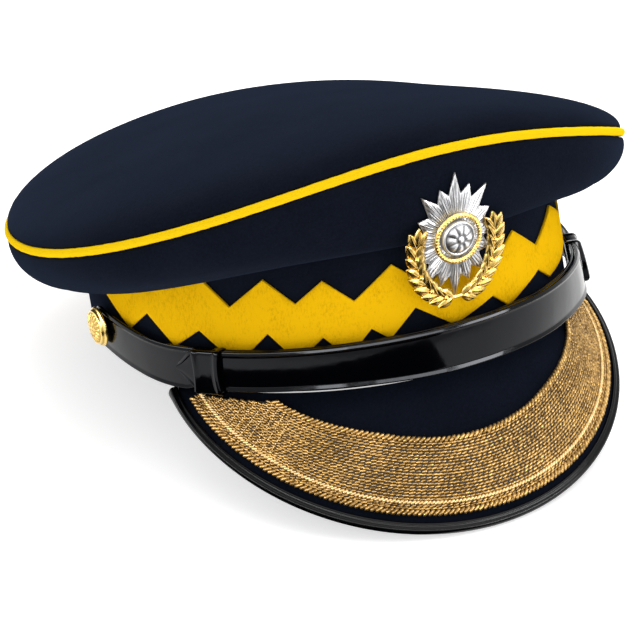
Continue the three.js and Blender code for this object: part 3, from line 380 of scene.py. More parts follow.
class CapForm:
    """Shape of the level cap, and its place when tipped back onto the floor."""

    def __init__(self, cap):
        self.band = cap.band
        self.crown = cap.crown
        self.peak = cap.peak
        self.strap = cap.strap
        self.badge = cap.badge
        tipped = Matrix.Rotation(-cap.rest.tilt, 4, "X")
        self.place = Matrix.Translation((0, cap.rest.shift, cap.rest.lift)) @ tipped
        self.groove = self.crown.piping + self.band.gap

    def on_floor(self, point):
        """Where a point of the level cap goes, pressed no lower than the floor."""
        placed = self.place @ point
        placed.z = max(placed.z, 0)
        return placed

    def band_normal(self, turn):
        """Direction straight out from the band at a turn from the front."""
        across = math.sin(turn) / self.band.half_width
        along = -math.cos(turn) / self.band.half_length
        return Vector((across, along, 0)).normalized()

    def band_press(self, turn, height):
        """How far in the band's wall leans ahead of the wearer's left button."""
        press = mix(self.band.press_foot, self.band.press_top, height / self.band.height)
        return press * set_in(turn, *LEAN_TURNS)

    def band_point(self, turn, outward, height):
        """Point a distance out from the band's outer face."""
        across = self.band.half_width * math.sin(turn) - self.band_press(turn, height)
        along = -self.band.half_length * math.cos(turn)
        return Vector((across, along, height)) + outward * self.band_normal(turn)

    def band_rate(self, turn):
        """Length round the band for each radian of turn."""
        across = self.band.half_width * math.cos(turn)
        return math.hypot(across, self.band.half_length * math.sin(turn))

    def band_top(self, turn):
        """Height of the band's top edge."""
        return self.band.height + self.band.front_stay * ((1 + math.cos(turn)) / 2) ** STAY_SHARPNESS

    def band_bottom(self, turn):
        """Height of the band's bottom edge."""
        return self.band.arch * math.sin(turn) ** ARCH_SHARPNESS

    def wave_height(self, turn, share):
        """Height that the edge waves give part of the way out from the crown's centre."""
        return sum(
            share ** order * (height * math.cos(order * turn) + lean * math.sin(order * turn))
            for order, (height, lean) in enumerate(zip(self.crown.waves, self.crown.leans))
        )

    def edge_point(self, turn):
        """Centre of the piping at a turn."""
        crown = self.crown
        fullness = 1 - crown.corner * math.cos(4 * turn)
        across = crown.half_width * fullness * math.sin(turn) * (1 + crown.egg * math.cos(turn))
        along = crown.shift - crown.half_length * fullness * math.cos(turn)
        return Vector((across, along, self.wave_height(turn, 1)))

    def roll_depth(self, turn):
        """Depth of the side roll below the piping."""
        crown = self.crown
        depth = mix(crown.roll_back, crown.roll_front, (1 + math.cos(turn)) / 2)
        aside = from_front(turn) / crown.droop_spread
        return depth + crown.droop * math.exp(-aside ** 2)

    def crown_section(self, turn):
        """Upright section through the band and the piping: reach, edge and a placing function."""
        foot = self.band_point(turn, 0, self.crown.seam_level)
        edge = self.edge_point(turn)
        away = Vector((edge.x - foot.x, edge.y - foot.y, 0))
        reach = away.length
        away.normalize()

        def place(outward, height):
            spot = foot + outward * away
            spot.z = height
            return spot

        return reach, edge, place

    def groove_point(self, section, at):
        """Point of the groove that the piping lies in, at an angle in degrees round the piping."""
        reach, edge, place = section
        swing = math.radians(at)
        return place(reach + self.groove * math.cos(swing), edge.z + self.groove * math.sin(swing))

    def dome_point(self, turn, share, wall):
        """Point on the crown's top, or on its inner face a wall below."""
        crown = self.crown
        edge = self.edge_point(turn)
        inset = 1 - wall / crown.half_width
        across = edge.x * share * inset
        along = crown.shift + (edge.y - crown.shift) * share * inset
        rise = crown.dome * max(0, 1 - share ** DOME_ROUNDNESS) ** crown.shoulder
        return Vector((across, along, self.wave_height(turn, share) + self.groove + rise - wall))

    def rim_point(self, across):
        """Point on the rim of the peak, from -1 on the wearer's right to 1 on the left."""
        peak = self.peak
        turn = across * peak.spread
        along = peak.centre - peak.reach * math.cos(turn)
        tuck = math.copysign(peak.tuck * across ** TUCK_SHARPNESS, across)
        side = peak.half_width * math.sin(turn) - tuck
        return Vector((side, along, peak.slope * (along - peak.hinge)))

    def root_point(self, across):
        """Point where the peak is sewn under the band, which keeps its oval there."""
        peak = self.peak
        turn = math.copysign(abs(across) ** peak.crowding * peak.root_spread, across)
        root = self.band_point(turn, peak.root_outward, peak.root_height)
        root.x += self.band_press(turn, peak.root_height)
        return root

    def lace_width(self, across):
        """Width of the lace between its ropes, less towards its ends."""
        return self.peak.lace_width - self.peak.lace_taper * eased(abs(across), 0.3, 0.7)

    def peak_length(self, across):
        """Length of the peak from rim to root."""
        return (self.rim_point(across) - self.root_point(across)).length

    def peak_point(self, across, from_rim, lift):
        """Point on the peak's upper face, a distance in from the rim and lifted off the face."""
        rim = self.rim_point(across)
        inward = self.root_point(across) - rim
        share = from_rim / inward.length
        inward.normalize()
        step = 0.01
        ahead = self.rim_point(across + step).lerp(self.root_point(across + step), share)
        behind = self.rim_point(across - step).lerp(self.root_point(across - step), share)
        normal = (ahead - behind).cross(inward).normalized()
        return rim + from_rim * inward + lift * normal

    def strap_top(self, turn):
        """Height of the upper edge of the straps at a turn."""
        strap = self.strap
        climb = strap.rise * eased(abs(turn), strap.rise_from, strap.rise_to)
        sag = strap.sag * math.sin(1.5 * turn) ** 2
        return strap.bottom + strap.outer_width + climb - sag

    def strap_half(self, width, end_width, way, turn):
        """Half the width of a strap that points to the wearer's left, way 1, or right, way -1."""
        strap = self.strap
        end = (strap.outer_end_from, strap.button_turn)
        if way > 0:
            end = (strap.inner_end_from, strap.inner_end_by)
        free = width / 2 - strap.point_taper * set_in(way * turn, *TAPER_TURNS)
        return mix(free, end_width / 2, eased(-way * turn, *end))

    def strap_point(self, turn, outward, height):
        """Point on a strap, which stands further off the band on the wearer's left."""
        strap = self.strap
        below = (self.strap_top(turn) - height) / strap.outer_width
        lifted = set_in(turn, *FLARE_TURNS) * (strap.standoff + strap.flare * below)
        return self.band_point(turn, outward + lifted, height)

    def outer_outward(self, turn):
        """How far out the outer strap lies: over the inner one, then down to the band."""
        return mix(self.strap.outer_outward, self.strap.inner_outward, set_in(turn, *SETTLE_TURNS))

    def badge_point(self, across, up, out):
        """Point of the badge, drawn flat, taken to the front of the cap."""
        badge = self.badge
        out -= across * across / (2 * badge.bend)
        lean = math.sin(badge.lean), math.cos(badge.lean)
        along = -self.band.half_length - badge.outward - up * lean[0] - out * lean[1]
        return Vector((across, along, badge.height + up * lean[1] - out * lean[0]))

    def badge_circle(self, size, turn, out):
        """Point on a circle round the badge's middle."""
        return self.badge_point(size * math.cos(turn), size * math.sin(turn), out)


# Meshes


def skin(loops, ring=False, first=None, last=None):
    """Points and faces through a row of loops. Open ends are closed by a fan to one point."""
    size = len(loops[0])
    points = [point for loop in loops for point in loop]
    faces = []
    rows = len(loops) if ring else len(loops) - 1
    for row in range(rows):
        here = row * size
        there = (row + 1) % len(loops) * size
        for column in range(size):
            after = (column + 1) % size
            faces.append((here + column, here + after, there + after, there + column))
    if not ring:
        for loop, start, middle in ((loops[0], 0, first), (loops[-1], rows * size, last)):
            points.append(middle or sum(loop, Vector()) / size)
            centre = len(points) - 1
            faces += [(start + at, start + (at + 1) % size, centre) for at in range(size)]
    return points, faces


def plain_mesh(name, points, faces):
    """Mesh with its faces pointing outwards and smooth."""
    mesh = bpy.data.meshes.new(name)
    mesh.from_pydata(points, [], faces)
    shape = bmesh.new()
    shape.from_mesh(mesh)
    bmesh.ops.recalc_face_normals(shape, faces=shape.faces)
    shape.to_mesh(mesh)
    shape.free()
    mesh.polygons.foreach_set("use_smooth", [True] * len(mesh.polygons))
    return mesh


def mark_worn(mesh, hollow_shade):
    """Stores the painted shade of each point in the raised work, from 0 on top to 1 in the hollows."""
    mesh.attributes.new("hollow_shade", "FLOAT", "POINT").data.foreach_set("value", hollow_shade)


def finished(piece, slot, *nodes):
    """Rides a piece on the cap and hides the solids that it stands for."""
    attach(piece, "root")
    if nodes:
        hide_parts(*nodes)
    return piece


def solid_piece(form, name, shape, material, slot, *nodes, crease=None):
    """Piece from points and faces of the level cap, with the painted shade of each point in its hollows
    where that is given.

    Edges sharper than crease stay crisp.
    """
    points, faces, *hollow_shade = shape
    mesh = plain_mesh(name, [form.on_floor(point) for point in points], faces)
    if crease:
        mesh.set_sharp_from_angle(angle=math.radians(crease))
    if hollow_shade:
        mark_worn(mesh, hollow_shade[0])
    mesh.materials.append(material)
    piece = bpy.data.objects.new(name, mesh)
    bpy.context.scene.collection.objects.link(piece)
    return finished(piece, slot, *nodes)


def aimed(here, ahead, above):
    """Place with its aim and its facing, from points ahead of it and above it."""
    return here, (ahead - here).normalized(), (above - here).normalized()


def bead_shape(sides, rings, fullness):
    """Unit bead along X from -0.5 to 0.5, as points and faces."""
    loops = []
    for place in steps(-0.5, 0.5, rings + 1)[1:-1]:
        radius = 0.5 * (1 - abs(2 * place) ** fullness) ** 0.5
        loops.append([
            Vector((place, radius * math.cos(turn), radius * math.sin(turn)))
            for turn in turns_round(sides)
        ])
    return skin(loops, first=Vector((-0.5, 0, 0)), last=Vector((0.5, 0, 0)))


def set_out_tree():
    """Geometry Nodes tree that sets one shape on every point of a mesh, turned to its own aim."""
    tree = bpy.data.node_groups.get("Set out along a path")
    if tree:
        return tree
    tree = bpy.data.node_groups.new("Set out along a path", "GeometryNodeTree")
    sockets = tree.interface
    sockets.new_socket("Geometry", in_out="OUTPUT", socket_type="NodeSocketGeometry")
    sockets.new_socket("Geometry", in_out="INPUT", socket_type="NodeSocketGeometry")
    sockets.new_socket("Shape", in_out="INPUT", socket_type="NodeSocketObject")
    for size in ("Length", "Width", "Height", "Unevenness"):
        sockets.new_socket(size, in_out="INPUT", socket_type="NodeSocketFloat")
    sockets.new_socket("Finish", in_out="INPUT", socket_type="NodeSocketMaterial")
    nodes, links = tree.nodes, tree.links
    given = nodes.new("NodeGroupInput")
    made = nodes.new("NodeGroupOutput")
    shape = nodes.new("GeometryNodeObjectInfo")
    aim = nodes.new("GeometryNodeInputNamedAttribute")
    facing = nodes.new("GeometryNodeInputNamedAttribute")
    for node, name in ((aim, "aim"), (facing, "facing")):
        node.data_type = "FLOAT_VECTOR"
        node.inputs["Name"].default_value = name
    turn = nodes.new("FunctionNodeAxesToRotation")
    turn.primary_axis = "X"
    turn.secondary_axis = "Z"
    size = nodes.new("ShaderNodeCombineXYZ")
    least = nodes.new("ShaderNodeMath")
    least.operation = "SUBTRACT"
    least.inputs[0].default_value = 1
    most = nodes.new("ShaderNodeMath")
    most.inputs[0].default_value = 1
    chance = nodes.new("FunctionNodeRandomValue")
    chance.inputs["Seed"].default_value = 7
    grown = nodes.new("ShaderNodeVectorMath")
    grown.operation = "SCALE"
    setting = nodes.new("GeometryNodeInstanceOnPoints")
    real = nodes.new("GeometryNodeRealizeInstances")
    finish = nodes.new("GeometryNodeSetMaterial")
    for source, output, target, socket in (
        (given, "Geometry", setting, "Points"),
        (given, "Shape", shape, "Object"),
        (shape, "Geometry", setting, "Instance"),
        (aim, "Attribute", turn, "Primary Axis"),
        (facing, "Attribute", turn, "Secondary Axis"),
        (turn, "Rotation", setting, "Rotation"),
        (given, "Length", size, "X"),
        (given, "Width", size, "Y"),
        (given, "Height", size, "Z"),
        (given, "Unevenness", least, 1),
        (given, "Unevenness", most, 1),
        (least, 0, chance, 2),
        (most, 0, chance, 3),
        (size, "Vector", grown, 0),
        (chance, 1, grown, "Scale"),
        (grown, "Vector", setting, "Scale"),
        (setting, "Instances", real, "Geometry"),
        (real, "Geometry", finish, "Geometry"),
        (given, "Finish", finish, "Material"),
        (finish, "Geometry", made, "Geometry"),
    ):
        links.new(source.outputs[output], target.inputs[socket])
    return tree


def set_out(form, name, places, shape, size, material, unevenness=0.0):
    """Object with one shape at every place. A place is a point, an aim and a facing of the level cap."""
    turn = form.place.to_3x3()
    mesh = bpy.data.meshes.new(name)
    mesh.from_pydata([form.place @ point for point, _, _ in places], [], [])
    for label, column in (("aim", 1), ("facing", 2)):
        values = [part for place in places for part in turn @ place[column]]
        mesh.attributes.new(label, "FLOAT_VECTOR", "POINT").data.foreach_set("vector", values)
    piece = bpy.data.objects.new(name, mesh)
    points, faces, *hollow_shade = shape
    pattern = bpy.data.objects.new(name + "_shape", plain_mesh(name + "_shape", points, faces))
    # The shape's painted shade in its hollows goes with it, where it has one.
    if hollow_shade:
        mark_worn(pattern.data, hollow_shade[0])
    bpy.context.scene.collection.objects.link(piece)
    bpy.context.scene.collection.objects.link(pattern)
    tree = set_out_tree()
    given = {
        item.name: item.identifier
        for item in tree.interface.items_tree
        if item.item_type == "SOCKET" and item.in_out == "INPUT"
    }
    modifier = piece.modifiers.new("Set out", "NODES")
    modifier.node_group = tree
    modifier[given["Shape"]] = pattern
    for label, value in zip(("Length", "Width", "Height"), size):
        modifier[given[label]] = value
    modifier[given["Unevenness"]] = unevenness
    modifier[given["Finish"]] = material
    graph = bpy.context.evaluated_depsgraph_get()
    made = bpy.data.meshes.new_from_object(piece.evaluated_get(graph))
    piece.modifiers.clear()
    piece.data = made
    made.name = name
    bpy.data.meshes.remove(mesh)
    spare = pattern.data
    bpy.data.objects.remove(pattern)
    bpy.data.meshes.remove(spare)
    return piece


# Finishes


class Finish:
    """Node material with one Principled shader."""

    def __init__(self, name):
        self.material = bpy.data.materials.new(name)
        self.material.use_nodes = True
        self.tree = self.material.node_tree
        self.shader = self.tree.nodes["Principled BSDF"]
        coordinates = self.tree.nodes.new("ShaderNodeTexCoord")
        self.spot = coordinates.outputs["Object"]

    def put(self, **values):
        """Sets plain values on the shader; an underscore stands for a space."""
        for name, value in values.items():
            socket = self.shader.inputs[name.replace("_", " ")]
            socket.default_value = (*value, 1) if hasattr(value, "__len__") else value

    def speckle(self, size, detail=2.0, roughness=0.5, stretch=(1, 1, 1)):
        """Noise with grains of a size."""
        spot = self.spot
        if stretch != (1, 1, 1):
            mapping = self.tree.nodes.new("ShaderNodeMapping")
            mapping.inputs["Scale"].default_value = stretch
            self.tree.links.new(spot, mapping.inputs["Vector"])
            spot = mapping.outputs["Vector"]
        node = self.tree.nodes.new("ShaderNodeTexNoise")
        node.inputs["Scale"].default_value = 1 / size
        node.inputs["Detail"].default_value = detail
        node.inputs["Roughness"].default_value = roughness
        self.tree.links.new(spot, node.inputs["Vector"])
        return node.outputs["Fac"]

    def hollow_shade(self):
        """Painted shade of the surface, strongest in the hollows of its raised work."""
        node = self.tree.nodes.new("ShaderNodeAttribute")
        node.attribute_name = "hollow_shade"
        return node.outputs["Fac"]

    def sum(self, first, second, share):
        """Mix of two grey patterns."""
        node = self.tree.nodes.new("ShaderNodeMix")
        node.inputs["Factor"].default_value = share
        self.tree.links.new(first, node.inputs["A"])
        self.tree.links.new(second, node.inputs["B"])
        return node.outputs["Result"]

    def ramp(self, pattern, stops, socket):
        """Colours or greys along a pattern, joined to one of the shader's sockets."""
        node = self.tree.nodes.new("ShaderNodeValToRGB")
        while len(node.color_ramp.elements) < len(stops):
            node.color_ramp.elements.new(0.5)
        for element, (place, value) in zip(node.color_ramp.elements, stops):
            element.position = place
            element.color = (*value, 1) if hasattr(value, "__len__") else (value, value, value, 1)
        self.tree.links.new(pattern, node.inputs["Fac"])
        self.tree.links.new(node.outputs["Color"], self.shader.inputs[socket])

    def bump(self, pattern, depth, strength=1.0):
        """Raises the surface by a pattern."""
        node = self.tree.nodes.new("ShaderNodeBump")
        node.inputs["Distance"].default_value = depth
        node.inputs["Strength"].default_value = strength
        self.tree.links.new(pattern, node.inputs["Height"])
        self.tree.links.new(node.outputs["Normal"], self.shader.inputs["Normal"])


def shared(make):
    """Makes a finish once and hands the same material out afterwards."""

    def give(colours):
        found = bpy.data.materials.get(make.__name__)
        return found or make(colours)

    return give


@shared
def wool_nap(colours):
    """Milled wool: a close matte nap with a faint mottle."""
    finish = Finish("wool_nap")
    nap = finish.speckle(0.9 * MM, detail=4, roughness=0.7)
    mottle = finish.speckle(22 * MM, detail=3)
    pattern = finish.sum(nap, mottle, 0.35)
    finish.ramp(pattern, ((0.3, colours.wool_dark), (0.7, colours.wool_light)), "Base Color")
    finish.bump(nap, 0.25 * MM, 0.6)
    finish.put(Roughness=1, Specular_IOR_Level=0)
    finish.put(Sheen_Weight=0.05, Sheen_Roughness=0.45, Sheen_Tint=colours.wool_sheen)
    return finish.material


@shared
def felt_fibres(colours):
    """Felt: bright matted fibres with darker flecks."""
    finish = Finish("felt_fibres")
    fibres = finish.speckle(0.7 * MM, detail=5, roughness=0.75, stretch=(1, 1, 0.45))
    patches = finish.speckle(9 * MM, detail=2)
    pattern = finish.sum(fibres, patches, 0.3)
    finish.ramp(pattern, ((0.3, colours.felt_dark), (0.5, colours.felt_light)), "Base Color")
    finish.bump(fibres, 0.3 * MM, 0.7)
    finish.put(Roughness=1, Specular_IOR_Level=0)
    return finish.material


@shared
def piping_felt(colours):
    """Felt drawn tight over the piping's cord, brighter and smoother than the band's."""
    finish = Finish("piping_felt")
    fibres = finish.speckle(0.5 * MM, detail=5, roughness=0.75)
    finish.ramp(fibres, ((0.25, colours.felt_dark), (0.42, colours.cord)), "Base Color")
    finish.bump(fibres, 0.25 * MM, 0.6)
    finish.put(Roughness=1, Specular_IOR_Level=0)
    return finish.material


@shared
def patent_gloss(colours):
    """Patent leather: black under a clear glossy coat that is never quite flat."""
    finish = Finish("patent_gloss")
    swell = finish.speckle(11 * MM, detail=2.5)
    haze = finish.speckle(3 * MM, detail=4)
    finish.ramp(haze, ((0.3, 0.07), (0.7, 0.12)), "Roughness")
    finish.bump(swell, 0.35 * MM, 0.35)
    finish.put(Base_Color=colours.patent, Specular_IOR_Level=0.19, Specular_Tint=(0.9, 0.93, 1))
    return finish.material


@shared
def binding_leather(colours):
    """Duller patent leather of the binding."""
    finish = Finish("binding_leather")
    haze = finish.speckle(5 * MM, detail=4)
    finish.ramp(haze, ((0.3, 0.2), (0.7, 0.3)), "Roughness")
    finish.bump(haze, 0.2 * MM, 0.4)
    finish.put(Base_Color=colours.patent, Specular_IOR_Level=0.16)
    return finish.material


@shared
def gold_wire(colours):
    """Gold wire of the lace, brighter and duller from turn to turn: random tone, with painted glints on
    the brighter turns.
    """
    finish = Finish("gold_wire")
    turns = finish.speckle(1.1 * MM, detail=2, roughness=0.6)
    wear = finish.speckle(16 * MM, detail=2)
    pattern = finish.sum(turns, wear, 0.25)
    # The brighter turns are partly painted glints.
    finish.ramp(pattern, ((0.36, colours.wire_dark), (0.62, colours.wire_light)), "Base Color")
    finish.ramp(turns, ((0.3, 0.55), (0.7, 0.32)), "Roughness")
    finish.put(Metallic=0.85)
    return finish.material


@shared
def bright_wire(colours):
    """Brighter flat wire of the line near the lace's outer edge."""
    finish = Finish("bright_wire")
    turns = finish.speckle(1.2 * MM, detail=2)
    finish.ramp(turns, ((0.3, colours.wire_light), (0.7, colours.wire_bright)), "Base Color")
    finish.put(Metallic=0.85, Roughness=0.5)
    return finish.material


@shared
def silk_weave(colours):
    """Dark silk that shows between the wires."""
    finish = Finish("silk_weave")
    weave = finish.speckle(0.5 * MM, detail=3)
    finish.ramp(weave, ((0.3, colours.silk_dark), (0.7, colours.silk_light)), "Base Color")
    finish.bump(weave, 0.2 * MM)
    finish.put(Roughness=0.7)
    return finish.material


@shared
def gilt_plate(colours):
    """Gilt: bright on top and darkened to brown by painted shade in the hollows, with a faint haze of
    handling.
    """
    finish = Finish("gilt_plate")
    haze = finish.speckle(4 * MM, detail=4)
    # The hollows take the colour of the painted shade.
    pattern = finish.sum(finish.hollow_shade(), haze, 0.2)
    finish.ramp(pattern, ((0.1, colours.gilt), (0.75, colours.gilt_deep)), "Base Color")
    finish.ramp(haze, ((0.3, 0.34), (0.7, 0.2)), "Roughness")
    finish.put(Metallic=1)
    return finish.material


@shared
def silver_plate(colours):
    """Silver plate: pale on top, darkened by painted shade in the hollows."""
    finish = Finish("silver_plate")
    haze = finish.speckle(3 * MM, detail=4)
    pattern = finish.sum(finish.hollow_shade(), haze, 0.2)
    finish.ramp(pattern, ((0.1, colours.silver), (0.8, colours.silver_deep)), "Base Color")
    finish.ramp(haze, ((0.3, 0.5), (0.7, 0.36)), "Roughness")
    finish.put(Metallic=1)
    return finish.material


@shared
def pale_floor(colours):
    """Plain pale floor."""
    finish = Finish("pale_floor")
    finish.put(Base_Color=colours.floor, Roughness=0.9, Specular_IOR_Level=0.1)
    finish.put(Emission_Color=(1, 1, 1), Emission_Strength=0.6)
    return finish.material


@shared
def dark_card(colours):
    """Black card that the gloss of the leather picks up."""
    finish = Finish("dark_card")
    finish.put(Base_Color=(0, 0, 0), Roughness=1, Specular_IOR_Level=0)
    return finish.material


# Shapes of the pieces


def soft(point, size, depth):
    """Gentle unevenness of a soft surface at a point."""
    return depth * noise.noise(point / size)


def crown_top_shape(form):
    """Domed top with its edge folded in behind the piping."""
    crown, band = form.crown, form.band
    turns = turns_round(CLOTH_TURNS)
    wave = 55 * MM
    puckers, pucker_depth = 36, 0.25 * MM
    outer = []
    for at in steps(4, 90, 30):
        share = math.sin(math.radians(at))
        by_seam = math.exp(-((share - 0.985) / 0.012) ** 2)
        loop = []
        for turn in turns:
            point = form.dome_point(turn, share, 0)
            point.z += soft(point, wave, crown.slack) * (1 - share ** 6)
            point.z -= pucker_depth * by_seam * math.sin(puckers * turn) ** 2
            loop.append(point)
        outer.append(loop)
    sections = [form.crown_section(turn) for turn in turns]
    fold = [[form.groove_point(section, at) for section in sections] for at in (115, 135, 155)]
    lip = form.groove + crown.wall
    half_gap = band.gap / 2
    fold.append([place(reach - form.groove, edge.z + half_gap) for reach, edge, place in sections])
    fold.append([place(reach - lip, edge.z + half_gap) for reach, edge, place in sections])
    inner = [
        [form.dome_point(turn, share, crown.wall) for turn in turns]
        for share in (0.95, 0.88, 0.78, 0.64, 0.48, 0.32, 0.16)
    ]
    first = form.dome_point(0, 0, 0)
    first.z += soft(first, wave, crown.slack)
    return skin(outer + fold + inner, first=first, last=form.dome_point(0, 0, crown.wall))


def quarters_shape(form):
    """Roll of cloth between the piping and the band."""
    crown, half_gap = form.crown, form.band.gap / 2
    wave = 45 * MM
    swell_to = 55
    loops = []
    for turn in turns_round(CLOTH_TURNS):
        section = form.crown_section(turn)
        reach, edge, place = section
        top = edge.z - form.groove
        hem = edge.z - form.roll_depth(turn)
        seam = max(form.band_top(turn), hem + crown.overlap)
        drop = top - hem
        outer_reach = reach - crown.standoff
        loop = [place(reach - form.groove, edge.z - half_gap)]
        loop += [form.groove_point(section, at) for at in (205, 225, 245)]
        swell = crown.swell * set_in(from_front(turn), *SWELL_TURNS)
        for at in [0, 1, 2.5] + steps(4.5, 86, 20):
            swing = math.radians(at)
            outward = crown.standoff + outer_reach * math.cos(swing)
            height = top - drop * math.sin(swing)
            bulge = soft(place(outward, height), wave, crown.slack) * math.sin(2 * swing)
            full = swell * max(0, math.sin(math.pi * min(at / swell_to, 1))) ** SWELL_SHARPNESS
            loop.append(place(outward + bulge + full, height - bulge))
        loop.append(place(crown.standoff, hem))
        loop.append(place(crown.standoff, seam))
        loop.append(place(crown.standoff + crown.wall, seam))
        loop.append(place(crown.standoff + crown.wall, hem + crown.wall))
        inner_reach = outer_reach - 2 * crown.wall
        for at in steps(75, 15, 6):
            swing = math.radians(at)
            loop.append(place(
                crown.standoff + crown.wall + inner_reach * math.cos(swing),
                top - (drop - crown.wall) * math.sin(swing),
            ))
        loop.append(place(reach - form.groove - crown.wall, edge.z - half_gap))
        loops.append(loop)
    return skin(loops, ring=True)


def piping_shape(form):
    """Felt cord along the crown's edge, a little uneven."""
    wave, depth = 2.2 * MM, 0.12 * MM
    loops = []
    for turn in turns_round(PIPING_TURNS):
        reach, edge, place = form.crown_section(turn)
        loop = []
        for swing in turns_round(14):
            spot = place(reach + math.cos(swing) * MM, edge.z + math.sin(swing) * MM)
            radius = form.crown.piping + soft(spot, wave, depth)
            loop.append(place(reach + radius * math.cos(swing), edge.z + radius * math.sin(swing)))
        loops.append(loop)
    return skin(loops, ring=True)


def head_band_shape(form):
    """Band with a rounded lower fold."""
    wall = form.band.wall
    fold_depth, flat_from = 0.8 * MM, 3 * MM
    loops = []
    for turn in turns_round(CLOTH_TURNS):
        bottom, top = form.band_bottom(turn), form.band_top(turn)
        loop = []
        for swing in steps(math.pi, 0, 8):
            outward = -wall / 2 + wall / 2 * math.cos(swing)
            loop.append(form.band_point(turn, outward, bottom + fold_depth - fold_depth * math.sin(swing)))
        heights = steps(bottom + flat_from, top, 8)
        loop += [form.band_point(turn, 0, height) for height in heights]
        loop += [form.band_point(turn, -wall, height) for height in steps(top, bottom + flat_from, 8)]
        loops.append(loop)
    return skin(loops, ring=True)


def tooth_corners(table, high, low):
    """Corners of one zigzag edge in order: the table's teeth, then even teeth round the back."""
    corners = []
    for tip_turn, tip, dip_turn, dip in table:
        corners.append((math.radians(tip_turn), tip * MM))
        corners.append((math.radians(dip_turn), dip * MM))
    start = corners[-1][0]
    pitch = (corners[0][0] + math.tau - start) / (BACK_TEETH + 0.5)
    for tooth in range(BACK_TEETH):
        corners.append((start + (tooth + 0.5) * pitch, high))
        corners.append((start + (tooth + 1) * pitch, low))
    corners.append((corners[0][0] + math.tau, corners[0][1]))
    return corners


def edge_height(corners, turn):
    """Height of a zigzag edge at a turn."""
    first = corners[0][0]
    wrapped = first + (turn - first) % math.tau
    for (start, here), (end, there) in zip(corners, corners[1:]):
        if wrapped <= end:
            return mix(here, there, (wrapped - start) / (end - start))
    return corners[-1][1]


def zigzag_shape(form):
    """Felt with cut zigzag edges, softened where the shears pressed them."""
    band = form.band
    upper = tooth_corners(UPPER_TEETH, band.tip, band.valley)
    lower = tooth_corners(LOWER_TEETH, band.notch, band.low)
    turns = {round(turn % math.tau, 4) for turn, _ in upper + lower}
    corner_apart = 0.004
    for turn in turns_round(FELT_TURNS):
        if all(abs(turn - corner) > corner_apart for corner in turns):
            turns.add(round(turn, 4))
    face = band.gap + band.felt
    soft_edge = 0.25 * MM
    wave, depth = 6 * MM, 0.1 * MM
    loops = []
    for turn in sorted(turns):
        low, high = edge_height(lower, turn), edge_height(upper, turn)
        loop = [form.band_point(turn, band.gap, low), form.band_point(turn, face - soft_edge, low)]
        for height in steps(low + soft_edge, high - soft_edge, 10):
            point = form.band_point(turn, face, height)
            loop.append(form.band_point(turn, face + soft(point, wave, depth), height))
        loop.append(form.band_point(turn, face - soft_edge, high))
        loop.append(form.band_point(turn, band.gap, high))
        loops.append(loop)
    return skin(loops, ring=True)


def along_peak(form, spread, count, section):
    """Loops that follow the peak. The section gives distances in from the rim and lifts."""
    return [
        [form.peak_point(across, from_rim, lift) for from_rim, lift in section(across)]
        for across in steps(-spread, spread, count)
    ]


def peak_shape(form):
    """Cloth-covered board."""
    edge = form.peak.binding_wall + form.band.gap

    def section(across):
        reach = form.peak_length(across)
        upper = [(from_rim, 0) for from_rim in steps(edge, reach, 12)]
        lower = [(from_rim, -form.peak.thickness) for from_rim in steps(reach, edge, 6)]
        return upper + lower

    return skin(along_peak(form, 1, PEAK_STEPS, section))


def binding_shape(form):
    """Leather folded over the rim: a round roll at the rim and a flat lip inside it."""
    peak, gap = form.peak, form.band.gap
    top = gap + peak.binding_wall
    bottom = -peak.thickness - top
    middle = (top + bottom) / 2
    half = (top - bottom) / 2
    depth = 1.1 * MM
    roll = [
        (depth - depth * math.cos(swing), middle + half * math.sin(swing))
        for swing in steps(math.pi / 2, -math.pi / 2, 12)
    ]
    upper = [
        (peak.binding, gap), (peak.binding, top - 0.35 * MM), (peak.binding - 0.3 * MM, top - 0.1 * MM),
        (2.6 * MM, top - 0.05 * MM), (2.1 * MM, top - 0.25 * MM), (1.75 * MM, top - 0.05 * MM),
    ]
    lower = [
        (peak.binding - 0.4 * MM, bottom), (peak.binding, bottom + 0.3 * MM),
        (peak.binding, -peak.thickness - gap), (peak.binding_wall, -peak.thickness - gap),
        (peak.binding_wall, gap),
    ]
    return skin(along_peak(form, 1, BINDING_STEPS, lambda across: upper + roll + lower))


def lace_end(form, across):
    """How far in from the rim the lace reaches at one place across the peak."""
    peak = form.peak
    return min(peak.lace_from_rim + form.lace_width(across), form.peak_length(across) - peak.lace_root)


def lace_ground_shape(form):
    """Strip of silk under the wires."""
    peak, gap = form.peak, form.band.gap

    def section(across):
        places = steps(peak.lace_from_rim, lace_end(form, across), 8)
        upper = [(from_rim, gap + peak.lace_ground) for from_rim in places]
        return upper + [(from_rim, gap) for from_rim in reversed(places)]

    return skin(along_peak(form, peak.lace_spread, PEAK_STEPS, section))


def peak_run(form, spread, share, inset, lift, pitch, offset=0.0, skew=0.0):
    """Evenly spaced places along the lace, each with its aim and facing.

    A place lies a share of the way across the lace, and an inset further in from the rim.
    """
    samples = []
    for across in steps(-spread, spread, LACE_SAMPLES):
        from_rim = form.peak.lace_from_rim + share * form.lace_width(across) + inset
        if from_rim <= form.peak_length(across) - form.peak.lace_root:
            samples.append((across, from_rim, form.peak_point(across, from_rim, lift)))
    places = []
    travelled, wanted = 0.0, offset
    for (across, from_rim, here), (_, _, there) in zip(samples, samples[1:]):
        gap = (there - here).length
        while wanted <= travelled + gap:
            point = here.lerp(there, (wanted - travelled) / gap)
            aim = (there - here).normalized()
            facing = (form.peak_point(across, from_rim, lift + MM) - here).normalized()
            side = facing.cross(aim)
            places.append((point, aim * math.cos(skew) + side * math.sin(skew), facing))
            wanted += pitch
        travelled += gap
    return places


